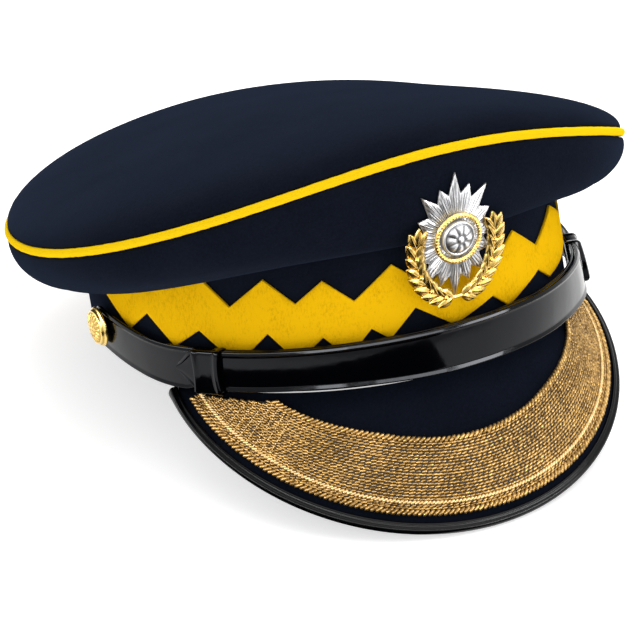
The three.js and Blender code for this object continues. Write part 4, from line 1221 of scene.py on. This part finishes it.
def cross_places(form):
    """Places along the wires that cross the lace near its end on the wearer's right."""
    peak = form.peak
    lift = form.band.gap + peak.lace_ground + 0.45 * MM
    start, end, wires = -0.9, -0.64, 11
    margin, pitch, slant = 3 * MM, 1.1 * MM, 0.03
    places = []
    for across in steps(start, end, wires):
        reach = lace_end(form, across) - peak.lace_from_rim - margin
        if reach <= 0:
            continue
        for from_rim in steps(0, reach, max(1, round(reach / pitch))):
            lean = across + slant * from_rim / peak.lace_width
            from_rim += peak.lace_from_rim + margin
            places.append(aimed(
                form.peak_point(lean, from_rim, lift),
                form.peak_point(lean, from_rim + MM, lift),
                form.peak_point(lean, from_rim, lift + MM),
            ))
    return places


def strap_stations(form, button_turn, point_turn, width, end_width):
    """Stations along a strap from its round button end to its point: turn, half width, middle."""
    way = math.copysign(1, point_turn - button_turn)
    shares = []
    for at in steps(4, 86, 10):
        beyond = end_width / 2 * math.cos(math.radians(at))
        turn = button_turn - way * beyond / form.band_rate(button_turn)
        shares.append((turn, math.sin(math.radians(at))))
    start = point_turn - way * form.strap.point / form.band_rate(point_turn)
    shares += [(turn, 1) for turn in steps(button_turn, start, STRAP_STEPS)]
    tip = 0.13
    for share in (0.33, 0.66, 1):
        shares.append((mix(start, point_turn, share), mix(1, tip, share)))
    stations = []
    for turn, share in shares:
        half = form.strap_half(width, end_width, way, turn)
        stations.append((turn, half * share, form.strap_top(turn) - half))
    return stations


def bead_share(share):
    """Section of a raised edge, from its lower side to its upper: steep below, a slope above."""
    ridge = 0.3
    if share < ridge:
        return math.sin(math.pi / 2 * share / ridge)
    return 1 - (share - ridge) / (1 - ridge)


def strap_shape(form, stations, outward_at, thickness):
    """Strap with a raised bead along each edge and a belly between them."""
    strap = form.strap
    bead = min(strap.bead, thickness / 3)
    waves_round, wave_depth = 9, 0.1 * MM
    edge_depth, edge_width = 0.25 * MM, 0.3 * MM
    widest = max(half for _, half, _ in stations)
    shares = (0, 0.06, 0.14, 0.22, 0.3, 0.38, 0.5, 0.62, 0.74, 0.86, 0.94, 1)
    loops = []
    for turn, half, middle in stations:
        wander = soft(Vector((waves_round * turn, 0, thickness / MM)), 1, wave_depth)
        back = outward_at(turn) + max(wander, 0)
        front = outward_at(turn) + thickness - bead + wander
        width = min(strap.bead_width, half / 2)
        section = [(share * width - half, bead_share(share)) for share in shares]
        section += [(place, 0) for place in steps(width - half, half - width, 20)[1:-1]]
        section += [(half - width + share * width, bead_share(share)) for share in shares]
        loop = [form.strap_point(turn, back, middle - half)]
        for place, ridge in section:
            from_edge = half - abs(place)
            belly = strap.crowning * max(0, 1 - (place / max(half - width, MM)) ** 2)
            edge = edge_depth * max(0, 1 - from_edge / edge_width) ** 2
            rise = bead * ridge * (half / widest) ** 2 + belly - edge
            loop.append(form.strap_point(turn, front + rise, middle + place))
        loop.append(form.strap_point(turn, back, middle + half))
        loops.append(loop)
    return skin(loops)


def keeper_shape(form, turn):
    """Leather loop round both straps, waisted at the front, with raised sides."""
    strap, gap = form.strap, form.band.gap
    back = strap.inner_outward - gap
    front = strap.outer_outward + strap.outer_thickness + gap
    size = form.strap_half(strap.outer_width, strap.outer_end, -1, turn)
    half = size + 0.1 * MM
    middle = form.strap_top(turn) - size
    along = Vector((0, 0, 1)).cross(form.band_normal(turn))
    reach = strap.keeper_width / 2 / form.band_rate(turn)
    along.z = (form.strap_top(turn + reach) - form.strap_top(turn - reach)) / strap.keeper_width
    corner = 0.5 * MM
    waisted, bulge, wedge = 0.13, 0.3 * MM, 0.4 * MM
    path = []
    corners = (
        (front - corner, half - corner, 0), (back + corner, half - corner, 90),
        (back + corner, corner - half, 180), (front - corner, corner - half, 270),
    )
    for outward, height, start in corners:
        for at in steps(start, start + 90, 6):
            swing = math.radians(at)
            path.append((outward, height, math.cos(swing), math.sin(swing)))
    for height in steps(corner - half, half - corner, 14)[1:-1]:
        path.append((front - corner, height, 1, 0))
    loops = []
    for outward, height, out, up in path:
        facing = max(0, out)
        arch = 1 - (height / half) ** 2
        waist = 1 - waisted * facing * arch
        outer, inner = [], []
        for side in steps(-1, 1, 14):
            reach = side * waist * strap.keeper_width / 2
            rim = eased(abs(side), 0.62, 0.8) * (1 - eased(abs(side), 0.9, 1.0) * 0.7)
            rise = strap.keeper_wall * (0.7 + 0.5 * rim) * (1 - 0.5 * abs(up))
            rise += facing * (bulge * arch + wedge * (1 - height / half))
            outer.append((corner + rise, reach))
            inner.append((corner, reach))
        loop = []
        for offset, reach in outer + inner[::-1]:
            spot = form.strap_point(turn, outward + out * offset, middle + height + up * offset)
            loop.append(spot + along * reach)
        loops.append(loop)
    return skin(loops, ring=True)


def button_relief(reach, turn):
    """Raised work on a button's face, from 0 to 1: a border, a ring of rays and a rosette."""
    border = math.exp(-((reach - 0.88) / 0.05) ** 4)
    rays = max(0, math.cos(18 * turn)) ** 0.6
    rays *= eased(reach, 0.42, 0.5) * (1 - eased(reach, 0.72, 0.79))
    petals = (0.5 + 0.5 * math.cos(6 * turn)) ** 0.7 * math.exp(-((reach - 0.27) / 0.12) ** 4)
    eye = math.exp(-(reach / 0.09) ** 4)
    return min(1, border + 0.8 * rays + 0.9 * petals + eye)


def button_shape(form, turn):
    """Domed button on its shank."""
    strap, gap = form.strap, form.band.gap
    out = form.band_normal(turn)
    up = Vector((0, 0, 1))
    side = up.cross(out)
    centre = form.band_point(turn, 0, form.strap_top(turn) - strap.button_below)
    back = strap.inner_outward + strap.outer_thickness + gap
    radius = strap.button
    # hollow is the strength of the painted shade on the shank, the back and between the raised work.
    shank, rim, hollow, relief = 1.5 * MM, 0.7 * MM, 0.6, 0.45 * MM
    turns = turns_round(BUTTON_SIDES)
    loops, hollow_shade = [], []

    def circle(size, heights, depths):
        loops.append([
            centre + out * height + size * (side * math.cos(a) + up * math.sin(a))
            for a, height in zip(turns, heights)
        ])
        hollow_shade.extend(depths)

    whole = len(turns)
    for size, height in ((shank, gap), (shank, back), (radius - 0.8 * MM, back)):
        circle(size, [height] * whole, [hollow] * whole)
    for at in steps(-70, 60, 6):
        swing = math.radians(at)
        height = back + 0.75 * MM + rim * math.sin(swing)
        circle(radius - rim + rim * math.cos(swing), [height] * whole, [0] * whole)
    face = back + 1.1 * MM
    for reach in steps(0.95, 0.03, 44):
        raised = [button_relief(reach, a) for a in turns]
        dome = face + strap.button_dome * 0.8 * (1 - reach ** 2) ** 0.6
        circle(
            reach * (radius - 0.35 * MM),
            [dome + relief * high for high in raised],
            [hollow - hollow * high for high in raised],
        )
    points, faces = skin(loops)
    return points, faces, hollow_shade + [hollow, 0]


def star_shape(form):
    """Star of long and short fluted rays."""
    badge = form.badge
    rays, flutes = 16, 8
    tips, between = (1, 0.84), 0.66
    outline = []
    for ray in range(rays):
        tip, after = tips[ray % 2], tips[(ray + 1) % 2]
        ends = []
        for place, share in ((ray, tip), (ray + 0.5, between), (ray + 1, after)):
            swing = math.tau * place / rays
            ends.append(Vector((
                share * badge.half_width * math.sin(swing), share * badge.half_height * math.cos(swing)
            )))
        for step in range(flutes):
            outline.append((ends[0].lerp(ends[1], step / flutes), step / flutes))
        for step in range(flutes):
            outline.append((ends[1].lerp(ends[2], step / flutes), 1 - step / flutes))
    loops = [[form.badge_point(spot.x * 0.97, spot.y * 0.97, 0) for spot, _ in outline]]
    loops.append([form.badge_point(spot.x, spot.y, 0.3 * MM) for spot, _ in outline])
    # Painted shade lies half strong on the star's cut edge and strongest in the valleys of the flutes.
    hollow_shade = [0.5] * (2 * len(outline))
    for share in (1, 0.97, 0.92, 0.86, 0.79, 0.72, 0.64, 0.56, 0.48, 0.4, 0.32, 0.24, 0.12):
        loop = []
        for spot, off in outline:
            flat = mix(badge.ridge, badge.edge, share)
            flute = 0.5 + 0.5 * math.cos(3 * math.tau * off)
            ridge = (0.55 * (1 - off) + 0.35 * flute) * min(1, 1.6 * share) * MM
            ridge *= 1 - 0.6 * eased(share, 0.9, 1)
            loop.append(form.badge_point(spot.x * share, spot.y * share, flat + ridge))
            hollow_shade.append(0.75 * (1 - flute) ** 1.5 * (1 - eased(share, 0.93, 1)))
        loops.append(loop)
    points, faces = skin(loops)
    return points, faces, hollow_shade + [0.5, 0.5]


def boss_shape(form):
    """Domed boss with a rosette of eight petals and a raised border."""
    badge = form.badge
    turns = turns_round(BOSS_SIDES)
    foot = badge.edge + 0.4 * MM
    # hollow is the painted shade at the boss's foot and between its petals and border.
    dome, relief, hollow = 2.1 * MM, 0.5 * MM, 0.8
    loops = [[form.badge_circle(badge.boss, a, foot) for a in turns]]
    hollow_shade = [hollow] * len(turns)
    for reach in steps(1, 0.04, 34):
        loop = []
        for a in turns:
            petals = (0.5 + 0.5 * math.cos(8 * a)) ** 0.6 * math.exp(-((reach - 0.52) / 0.22) ** 4)
            border = math.exp(-((reach - 0.92) / 0.07) ** 4)
            eye = math.exp(-(reach / 0.17) ** 4)
            high = min(1, petals + border + eye)
            height = badge.ridge + 0.3 * MM + dome * (1 - reach ** 2) ** 0.7 + relief * high
            loop.append(form.badge_circle(reach * badge.boss, a, height))
            hollow_shade.append(hollow * (1 - high))
        loops.append(loop)
    points, faces = skin(loops)
    return points, faces, hollow_shade + [hollow, 0]


def ring_shape(form):
    """Plain hoop that carries the ring's beads."""
    badge = form.badge
    rest = badge.ridge + form.band.gap + 0.5 * MM
    half_width, half_height = 0.85 * MM, 0.6 * MM
    loops = []
    for a in turns_round(BOSS_SIDES):
        loop = []
        for swing in turns_round(10):
            size = badge.ring + half_width * math.cos(swing)
            out = rest + half_height * math.sin(swing)
            loop.append(form.badge_circle(size, a, out))
        loops.append(loop)
    return skin(loops, ring=True)


def ring_places(form):
    """Places for the beads round the ring."""
    ring = form.badge.ring
    rest = form.badge.ridge + form.band.gap + 0.9 * MM
    beads, step = 44, 0.05
    places = []
    for a in turns_round(beads):
        places.append(aimed(
            form.badge_circle(ring, a, rest),
            form.badge_circle(ring, a + step, rest),
            form.badge_circle(ring, a, rest + MM),
        ))
    return places


def stem_point(form, turn, out=0.0):
    """Point on the curved stems of the sprays."""
    badge = form.badge
    return form.badge_point(
        badge.spray_width * math.sin(turn),
        -badge.spray_drop - badge.spray_height * math.cos(turn),
        badge.spray_out + out,
    )


def stem_shape(form):
    """Both stems in one, meeting below the star."""
    radius, sides = 0.65 * MM, 8
    end, step = math.radians(102), 0.01
    loops = []
    for turn in steps(-end, end, 60):
        here, ahead, above = aimed(
            stem_point(form, turn), stem_point(form, turn + step), stem_point(form, turn, MM)
        )
        side = above.cross(ahead)
        loops.append([
            here + radius * (side * math.cos(a) + above * math.sin(a)) for a in turns_round(sides)
        ])
    return skin(loops)


def leaf_shape():
    """Unit leaf along X with a raised midrib and a curl."""
    loops = []
    for place in (0.02, 0.08, 0.18, 0.32, 0.48, 0.64, 0.79, 0.91, 0.98):
        half = 0.5 * math.sin(math.pi * place ** 0.85) ** 0.8 + 0.02
        curl = 0.35 * math.sin(math.pi * place)
        section = (
            (-half, 0.0), (-0.55 * half, 0.24), (-0.12 * half, 0.3), (0, 0.5), (0.12 * half, 0.3),
            (0.55 * half, 0.24), (half, 0), (0, -0.25),
        )
        loops.append([Vector((place, side, rise + curl)) for side, rise in section])
    points, faces = skin(loops)
    # Painted shade for each point of a leaf's section: none on the midrib, strong beside it and on the
    # underside.
    depths = (0.5, 0.1, 0.8, 0, 0.8, 0.1, 0.5, 1)
    return points, faces, list(depths) * len(loops) + [0.6, 0.2]


def leaf_places(form):
    """Places for the leaves, in pairs up each stem, and for the berries between them."""
    first, last, tip = math.radians(6), math.radians(98), math.radians(100)
    spread, step = math.radians(30), 0.02
    leaves, berries = [], []

    def on_stem(side, turn, ahead):
        return aimed(
            stem_point(form, side * turn),
            stem_point(form, side * ahead),
            stem_point(form, side * turn, MM),
        )

    for side in (-1, 1):
        for index, turn in enumerate(steps(first, last, 8)):
            here, ahead, above = on_stem(side, turn, turn + step)
            across = above.cross(ahead)
            for swing in (-spread, spread):
                aim = ahead * math.cos(swing) + across * math.sin(swing)
                leaves.append((here, aim, above))
            if index % 2 == 1:
                berries.append((here + above * 0.9 * MM, ahead, above))
        leaves.append(on_stem(side, tip, math.radians(102)))
    return leaves, berries


# Operators


class ForageCapOperator:
    """What the operators share: the cap's sizes, its form and its colours."""

    bl_options = {"REGISTER", "UNDO"}

    def start(self, context):
        cap = context.scene.forage_cap
        return CapForm(cap), cap.colours


class FORAGE_OT_stage(ForageCapOperator, bpy.types.Operator):
    """Make the floor, the lights and the camera"""

    bl_idname = "forage.stage"
    bl_label = "Stage"

    def execute(self, context):
        cap = context.scene.forage_cap
        self.camera(context, cap.stage)
        self.floor(context, cap.colours)
        self.lights(context, cap.stage)
        context.scene.view_settings.view_transform = "Standard"
        return {"FINISHED"}

    def camera(self, context, stage):
        """Set up the camera at the photograph's angle."""
        data = bpy.data.cameras.new("photo_camera")
        data.sensor_width = 36
        data.lens = stage.lens
        data.clip_start = 0.01
        eye = bpy.data.objects.new("photo_camera", data)
        back = Vector((
            math.sin(stage.azimuth) * math.cos(stage.elevation),
            -math.cos(stage.azimuth) * math.cos(stage.elevation),
            math.sin(stage.elevation),
        ))
        look = (-back).to_track_quat("-Z", "Y").to_matrix().to_4x4()
        lean = Matrix.Rotation(stage.roll, 4, "Z")
        eye.matrix_world = Matrix.Translation(Vector(stage.eye)) @ look @ lean
        context.scene.collection.objects.link(eye)
        context.scene.camera = eye

    def card(self, context, name, corners, material):
        """Put up one flat face that belongs to the stage."""
        mesh = bpy.data.meshes.new(name)
        mesh.from_pydata(corners, [], [range(len(corners))])
        mesh.materials.append(material)
        card = bpy.data.objects.new(name, mesh)
        context.scene.collection.objects.link(card)
        return card

    def floor(self, context, colours):
        """Lay the floor, and the card that darkens only what the leather mirrors."""
        ways = ((-1, -1), (1, -1), (1, 1), (-1, 1))
        corners = [(FLOOR_REACH * x, FLOOR_REACH * y, 0) for x, y in ways]
        self.card(context, "floor", corners, pale_floor(colours))
        corners = []
        for azimuth, reach, height in FLAG_CORNERS:
            turn = math.radians(azimuth)
            corners.append((reach * math.sin(turn), FLAG_CENTRE - reach * math.cos(turn), height))
        flag = self.card(context, "dark_flag", corners, dark_card(colours))
        flag.visible_camera = False
        flag.visible_diffuse = False
        flag.visible_shadow = False

    def lights(self, context, stage):
        """Hang the sky and the lights."""
        world = bpy.data.worlds.new("studio")
        world.use_nodes = True
        sky = world.node_tree.nodes["Background"]
        sky.inputs["Color"].default_value = (1, 1, 1, 1)
        sky.inputs["Strength"].default_value = stage.sky
        context.scene.world = world
        for name, place, width, depth, share in LIGHTS:
            data = bpy.data.lights.new(name, "AREA")
            data.energy = stage.key * share
            data.shape = "RECTANGLE"
            data.size = width
            data.size_y = depth
            light = bpy.data.objects.new(name, data)
            aim = Vector(LIGHT_AIM) - Vector(place)
            look = aim.to_track_quat("-Z", "Y").to_matrix().to_4x4()
            light.matrix_world = Matrix.Translation(place) @ look
            light.visible_diffuse = "strip" not in name
            context.scene.collection.objects.link(light)


class FORAGE_OT_crown(ForageCapOperator, bpy.types.Operator):
    """Make the crown's top and its rolled side"""

    bl_idname = "forage.crown"
    bl_label = "Crown"

    def execute(self, context):
        form, colours = self.start(context)
        wool = wool_nap(colours)
        solid_piece(form, "crown_top_cloth", crown_top_shape(form), wool, "navy_wool", "crown_top")
        solid_piece(form, "crown_quarters", quarters_shape(form), wool, "navy_wool", "crown_side")
        return {"FINISHED"}


class FORAGE_OT_piping(ForageCapOperator, bpy.types.Operator):
    """Make the piping round the crown"""

    bl_idname = "forage.piping"
    bl_label = "Piping"

    def execute(self, context):
        form, colours = self.start(context)
        shape = piping_shape(form)
        solid_piece(form, "piping_cord", shape, piping_felt(colours), "yellow_felt", "crown_piping")
        return {"FINISHED"}


class FORAGE_OT_band(ForageCapOperator, bpy.types.Operator):
    """Make the head band and its zigzag felt"""

    bl_idname = "forage.band"
    bl_label = "Band"

    def execute(self, context):
        form, colours = self.start(context)
        solid_piece(
            form, "head_band_cloth", head_band_shape(form), wool_nap(colours), "navy_wool", "head_band",
            crease=50,
        )
        solid_piece(
            form, "zigzag_felt", zigzag_shape(form), felt_fibres(colours), "yellow_felt", "zigzag_band",
            crease=50,
        )
        return {"FINISHED"}


class FORAGE_OT_peak(ForageCapOperator, bpy.types.Operator):
    """Make the peak and its binding"""

    bl_idname = "forage.peak"
    bl_label = "Peak"

    def execute(self, context):
        form, colours = self.start(context)
        solid_piece(
            form, "peak_cloth", peak_shape(form), wool_nap(colours), "navy_wool", "peak", crease=50
        )
        solid_piece(
            form, "peak_binding_leather", binding_shape(form), binding_leather(colours),
            "patent_leather", "peak_binding", crease=60,
        )
        return {"FINISHED"}


class FORAGE_OT_lace(ForageCapOperator, bpy.types.Operator):
    """Weave the gold lace on the peak"""

    bl_idname = "forage.lace"
    bl_label = "Lace"

    def execute(self, context):
        form, colours = self.start(context)
        peak, gap = form.peak, form.band.gap
        wire, bright = gold_wire(colours), bright_wire(colours)
        solid_piece(
            form, "lace_silk", lace_ground_shape(form), silk_weave(colours), "gold_lace", "peak_lace"
        )
        self.rows(form, wire)
        edge = peak.rope_radius + gap
        lift = gap + peak.rope_radius
        strand = bead_shape(8, 5, 2.6)
        size = (3.3 * MM, 1.35 * MM, 1.45 * MM)
        for name, share, inset, node in (
            ("lace_rope_outer", 0, -edge, "lace_cord_outer"),
            ("lace_rope_inner", 1, edge - 0.3 * MM, "lace_cord_inner"),
        ):
            places = peak_run(
                form, peak.lace_spread, share, inset, lift, 1.7 * MM, skew=math.radians(42)
            )
            piece = set_out(form, name, places, strand, size, wire, unevenness=0.08)
            finished(piece, "gold_lace", node)
        places = peak_run(
            form, peak.lace_spread, 0, 2.1 * MM, gap + 0.85 * MM, 1.3 * MM, skew=math.radians(33)
        )
        size = (2.2 * MM, 1.1 * MM, 1.15 * MM)
        piece = set_out(form, "lace_bright_line", places, strand, size, bright, unevenness=0.1)
        finished(piece, "gold_lace")
        places = cross_places(form)
        strand = bead_shape(5, 2, 2.6)
        size = (1.2 * MM, 0.42 * MM, 0.45 * MM)
        piece = set_out(form, "lace_cross_wires", places, strand, size, bright, unevenness=0.15)
        finished(piece, "gold_lace")
        return {"FINISHED"}

    def rows(self, form, wire):
        """Rows of twisted wire that fill the lace between its edges, with two closer rows outside."""
        peak, gap = form.peak, form.band.gap
        lift = gap + peak.lace_ground + 0.1 * MM
        insets = [(0, 0.25 * MM), (0, 1.05 * MM)]
        for share in steps(0, 1, peak.wire_rows - 1):
            insets.append((share, mix(3.2 * MM, -0.4 * MM, share)))
        places = []
        for row, (share, inset) in enumerate(insets):
            pitch = peak.wire_pitch * (1 + 0.1 * math.sin(2.4 * row))
            offset = pitch * (0.29 * row * row % 1)
            skew = math.radians(11 + 5 * math.sin(1.7 * row))
            places += peak_run(form, peak.lace_spread, share, inset, lift, pitch, offset, skew)
        size = (1.25 * peak.wire_pitch, 0.9 * MM, 0.8 * MM)
        piece = set_out(form, "lace_wires", places, bead_shape(6, 5, 2.2), size, wire, unevenness=0.2)
        finished(piece, "gold_lace")


class FORAGE_OT_strap(ForageCapOperator, bpy.types.Operator):
    """Make both layers of the chin strap and their keepers"""

    bl_idname = "forage.strap"
    bl_label = "Chin strap"

    def execute(self, context):
        form, colours = self.start(context)
        strap, leather = form.strap, patent_gloss(colours)
        outer = strap_shape(
            form,
            strap_stations(
                form, strap.button_turn, strap.outer_point, strap.outer_width, strap.outer_end
            ),
            form.outer_outward,
            strap.outer_thickness,
        )
        inner = strap_shape(
            form,
            strap_stations(
                form, -strap.button_turn, strap.inner_point, strap.inner_width, strap.inner_end
            ),
            lambda turn: strap.inner_outward,
            strap.inner_thickness,
        )
        slot = "patent_leather"
        solid_piece(form, "strap_outer_leather", outer, leather, slot, "chin_strap_outer", crease=70)
        solid_piece(form, "strap_inner_leather", inner, leather, slot, "chin_strap_inner", crease=70)
        for side, turn in (("right", strap.keeper_right), ("left", strap.keeper_left)):
            name = f"keeper_{side}_leather"
            solid_piece(
                form, name, keeper_shape(form, turn), leather, slot, f"keeper_{side}", crease=60
            )
        return {"FINISHED"}


class FORAGE_OT_buttons(ForageCapOperator, bpy.types.Operator):
    """Make both buttons"""

    bl_idname = "forage.buttons"
    bl_label = "Buttons"

    def execute(self, context):
        form, colours = self.start(context)
        turn = form.strap.button_turn
        for side, place in (("right", -turn), ("left", turn)):
            solid_piece(
                form, f"button_{side}_gilt", button_shape(form, place), gilt_plate(colours),
                "gilt_metal", f"button_{side}", crease=60,
            )
        return {"FINISHED"}


class FORAGE_OT_badge(ForageCapOperator, bpy.types.Operator):
    """Make the badge: star, boss, ring and sprays"""

    bl_idname = "forage.badge"
    bl_label = "Badge"

    def execute(self, context):
        form, colours = self.start(context)
        silver, gilt = silver_plate(colours), gilt_plate(colours)
        solid_piece(form, "star_plate", star_shape(form), silver, "silver_metal", "badge_star", crease=50)
        solid_piece(form, "star_boss", boss_shape(form), silver, "silver_metal", crease=60)
        solid_piece(form, "ring_hoop", ring_shape(form), gilt, "gilt_metal", "badge_ring")
        size = (1.05 * MM, 1.3 * MM, 1.1 * MM)
        piece = set_out(form, "ring_beads", ring_places(form), bead_shape(8, 5, 2), size, gilt)
        finished(piece, "gilt_metal")
        solid_piece(form, "spray_stems", stem_shape(form), gilt, "gilt_metal", "badge_sprays")
        leaves, berries = leaf_places(form)
        size = (form.badge.leaf, 3.4 * MM, 1.5 * MM)
        piece = set_out(form, "spray_leaves", leaves, leaf_shape(), size, gilt, unevenness=0.06)
        finished(piece, "gilt_metal")
        size = (1.5 * MM, 1.5 * MM, 1.5 * MM)
        piece = set_out(form, "spray_berries", berries, bead_shape(10, 7, 2), size, gilt)
        finished(piece, "gilt_metal")
        return {"FINISHED"}


class FORAGE_PT_panel(bpy.types.Panel):
    """Sidebar panel with a button for each group of pieces"""

    bl_label = "Forage Cap"
    bl_idname = "FORAGE_PT_panel"
    bl_space_type = "VIEW_3D"
    bl_region_type = "UI"
    bl_category = "Forage Cap"

    def draw(self, context):
        cap = context.scene.forage_cap
        for operator in OPERATORS:
            self.layout.operator(operator.bl_idname)
        for name in cap.colours.__annotations__:
            self.layout.prop(cap.colours, name)


OPERATORS = (
    FORAGE_OT_stage,
    FORAGE_OT_crown,
    FORAGE_OT_piping,
    FORAGE_OT_band,
    FORAGE_OT_peak,
    FORAGE_OT_lace,
    FORAGE_OT_strap,
    FORAGE_OT_buttons,
    FORAGE_OT_badge,
)
CLASSES = (
    RestSizes, BandSizes, CrownSizes, PeakSizes, StrapSizes, BadgeSizes, CapColours, StageSizes,
    ForageCap, *OPERATORS, FORAGE_PT_panel,
)


def register():
    """Registers the classes and hangs the cap's sizes on the scene."""
    for entry in CLASSES:
        bpy.utils.register_class(entry)
    bpy.types.Scene.forage_cap = PointerProperty(type=ForageCap)


def unregister():
    """Takes the classes and the sizes away again."""
    del bpy.types.Scene.forage_cap
    for entry in reversed(CLASSES):
        bpy.utils.unregister_class(entry)


def main():
    """Makes every piece in order."""
    register()
    bpy.ops.forage.stage()
    bpy.ops.forage.crown()
    bpy.ops.forage.piping()
    bpy.ops.forage.band()
    bpy.ops.forage.peak()
    bpy.ops.forage.lace()
    bpy.ops.forage.strap()
    bpy.ops.forage.buttons()
    bpy.ops.forage.badge()


if __name__ == "__main__":
    main()
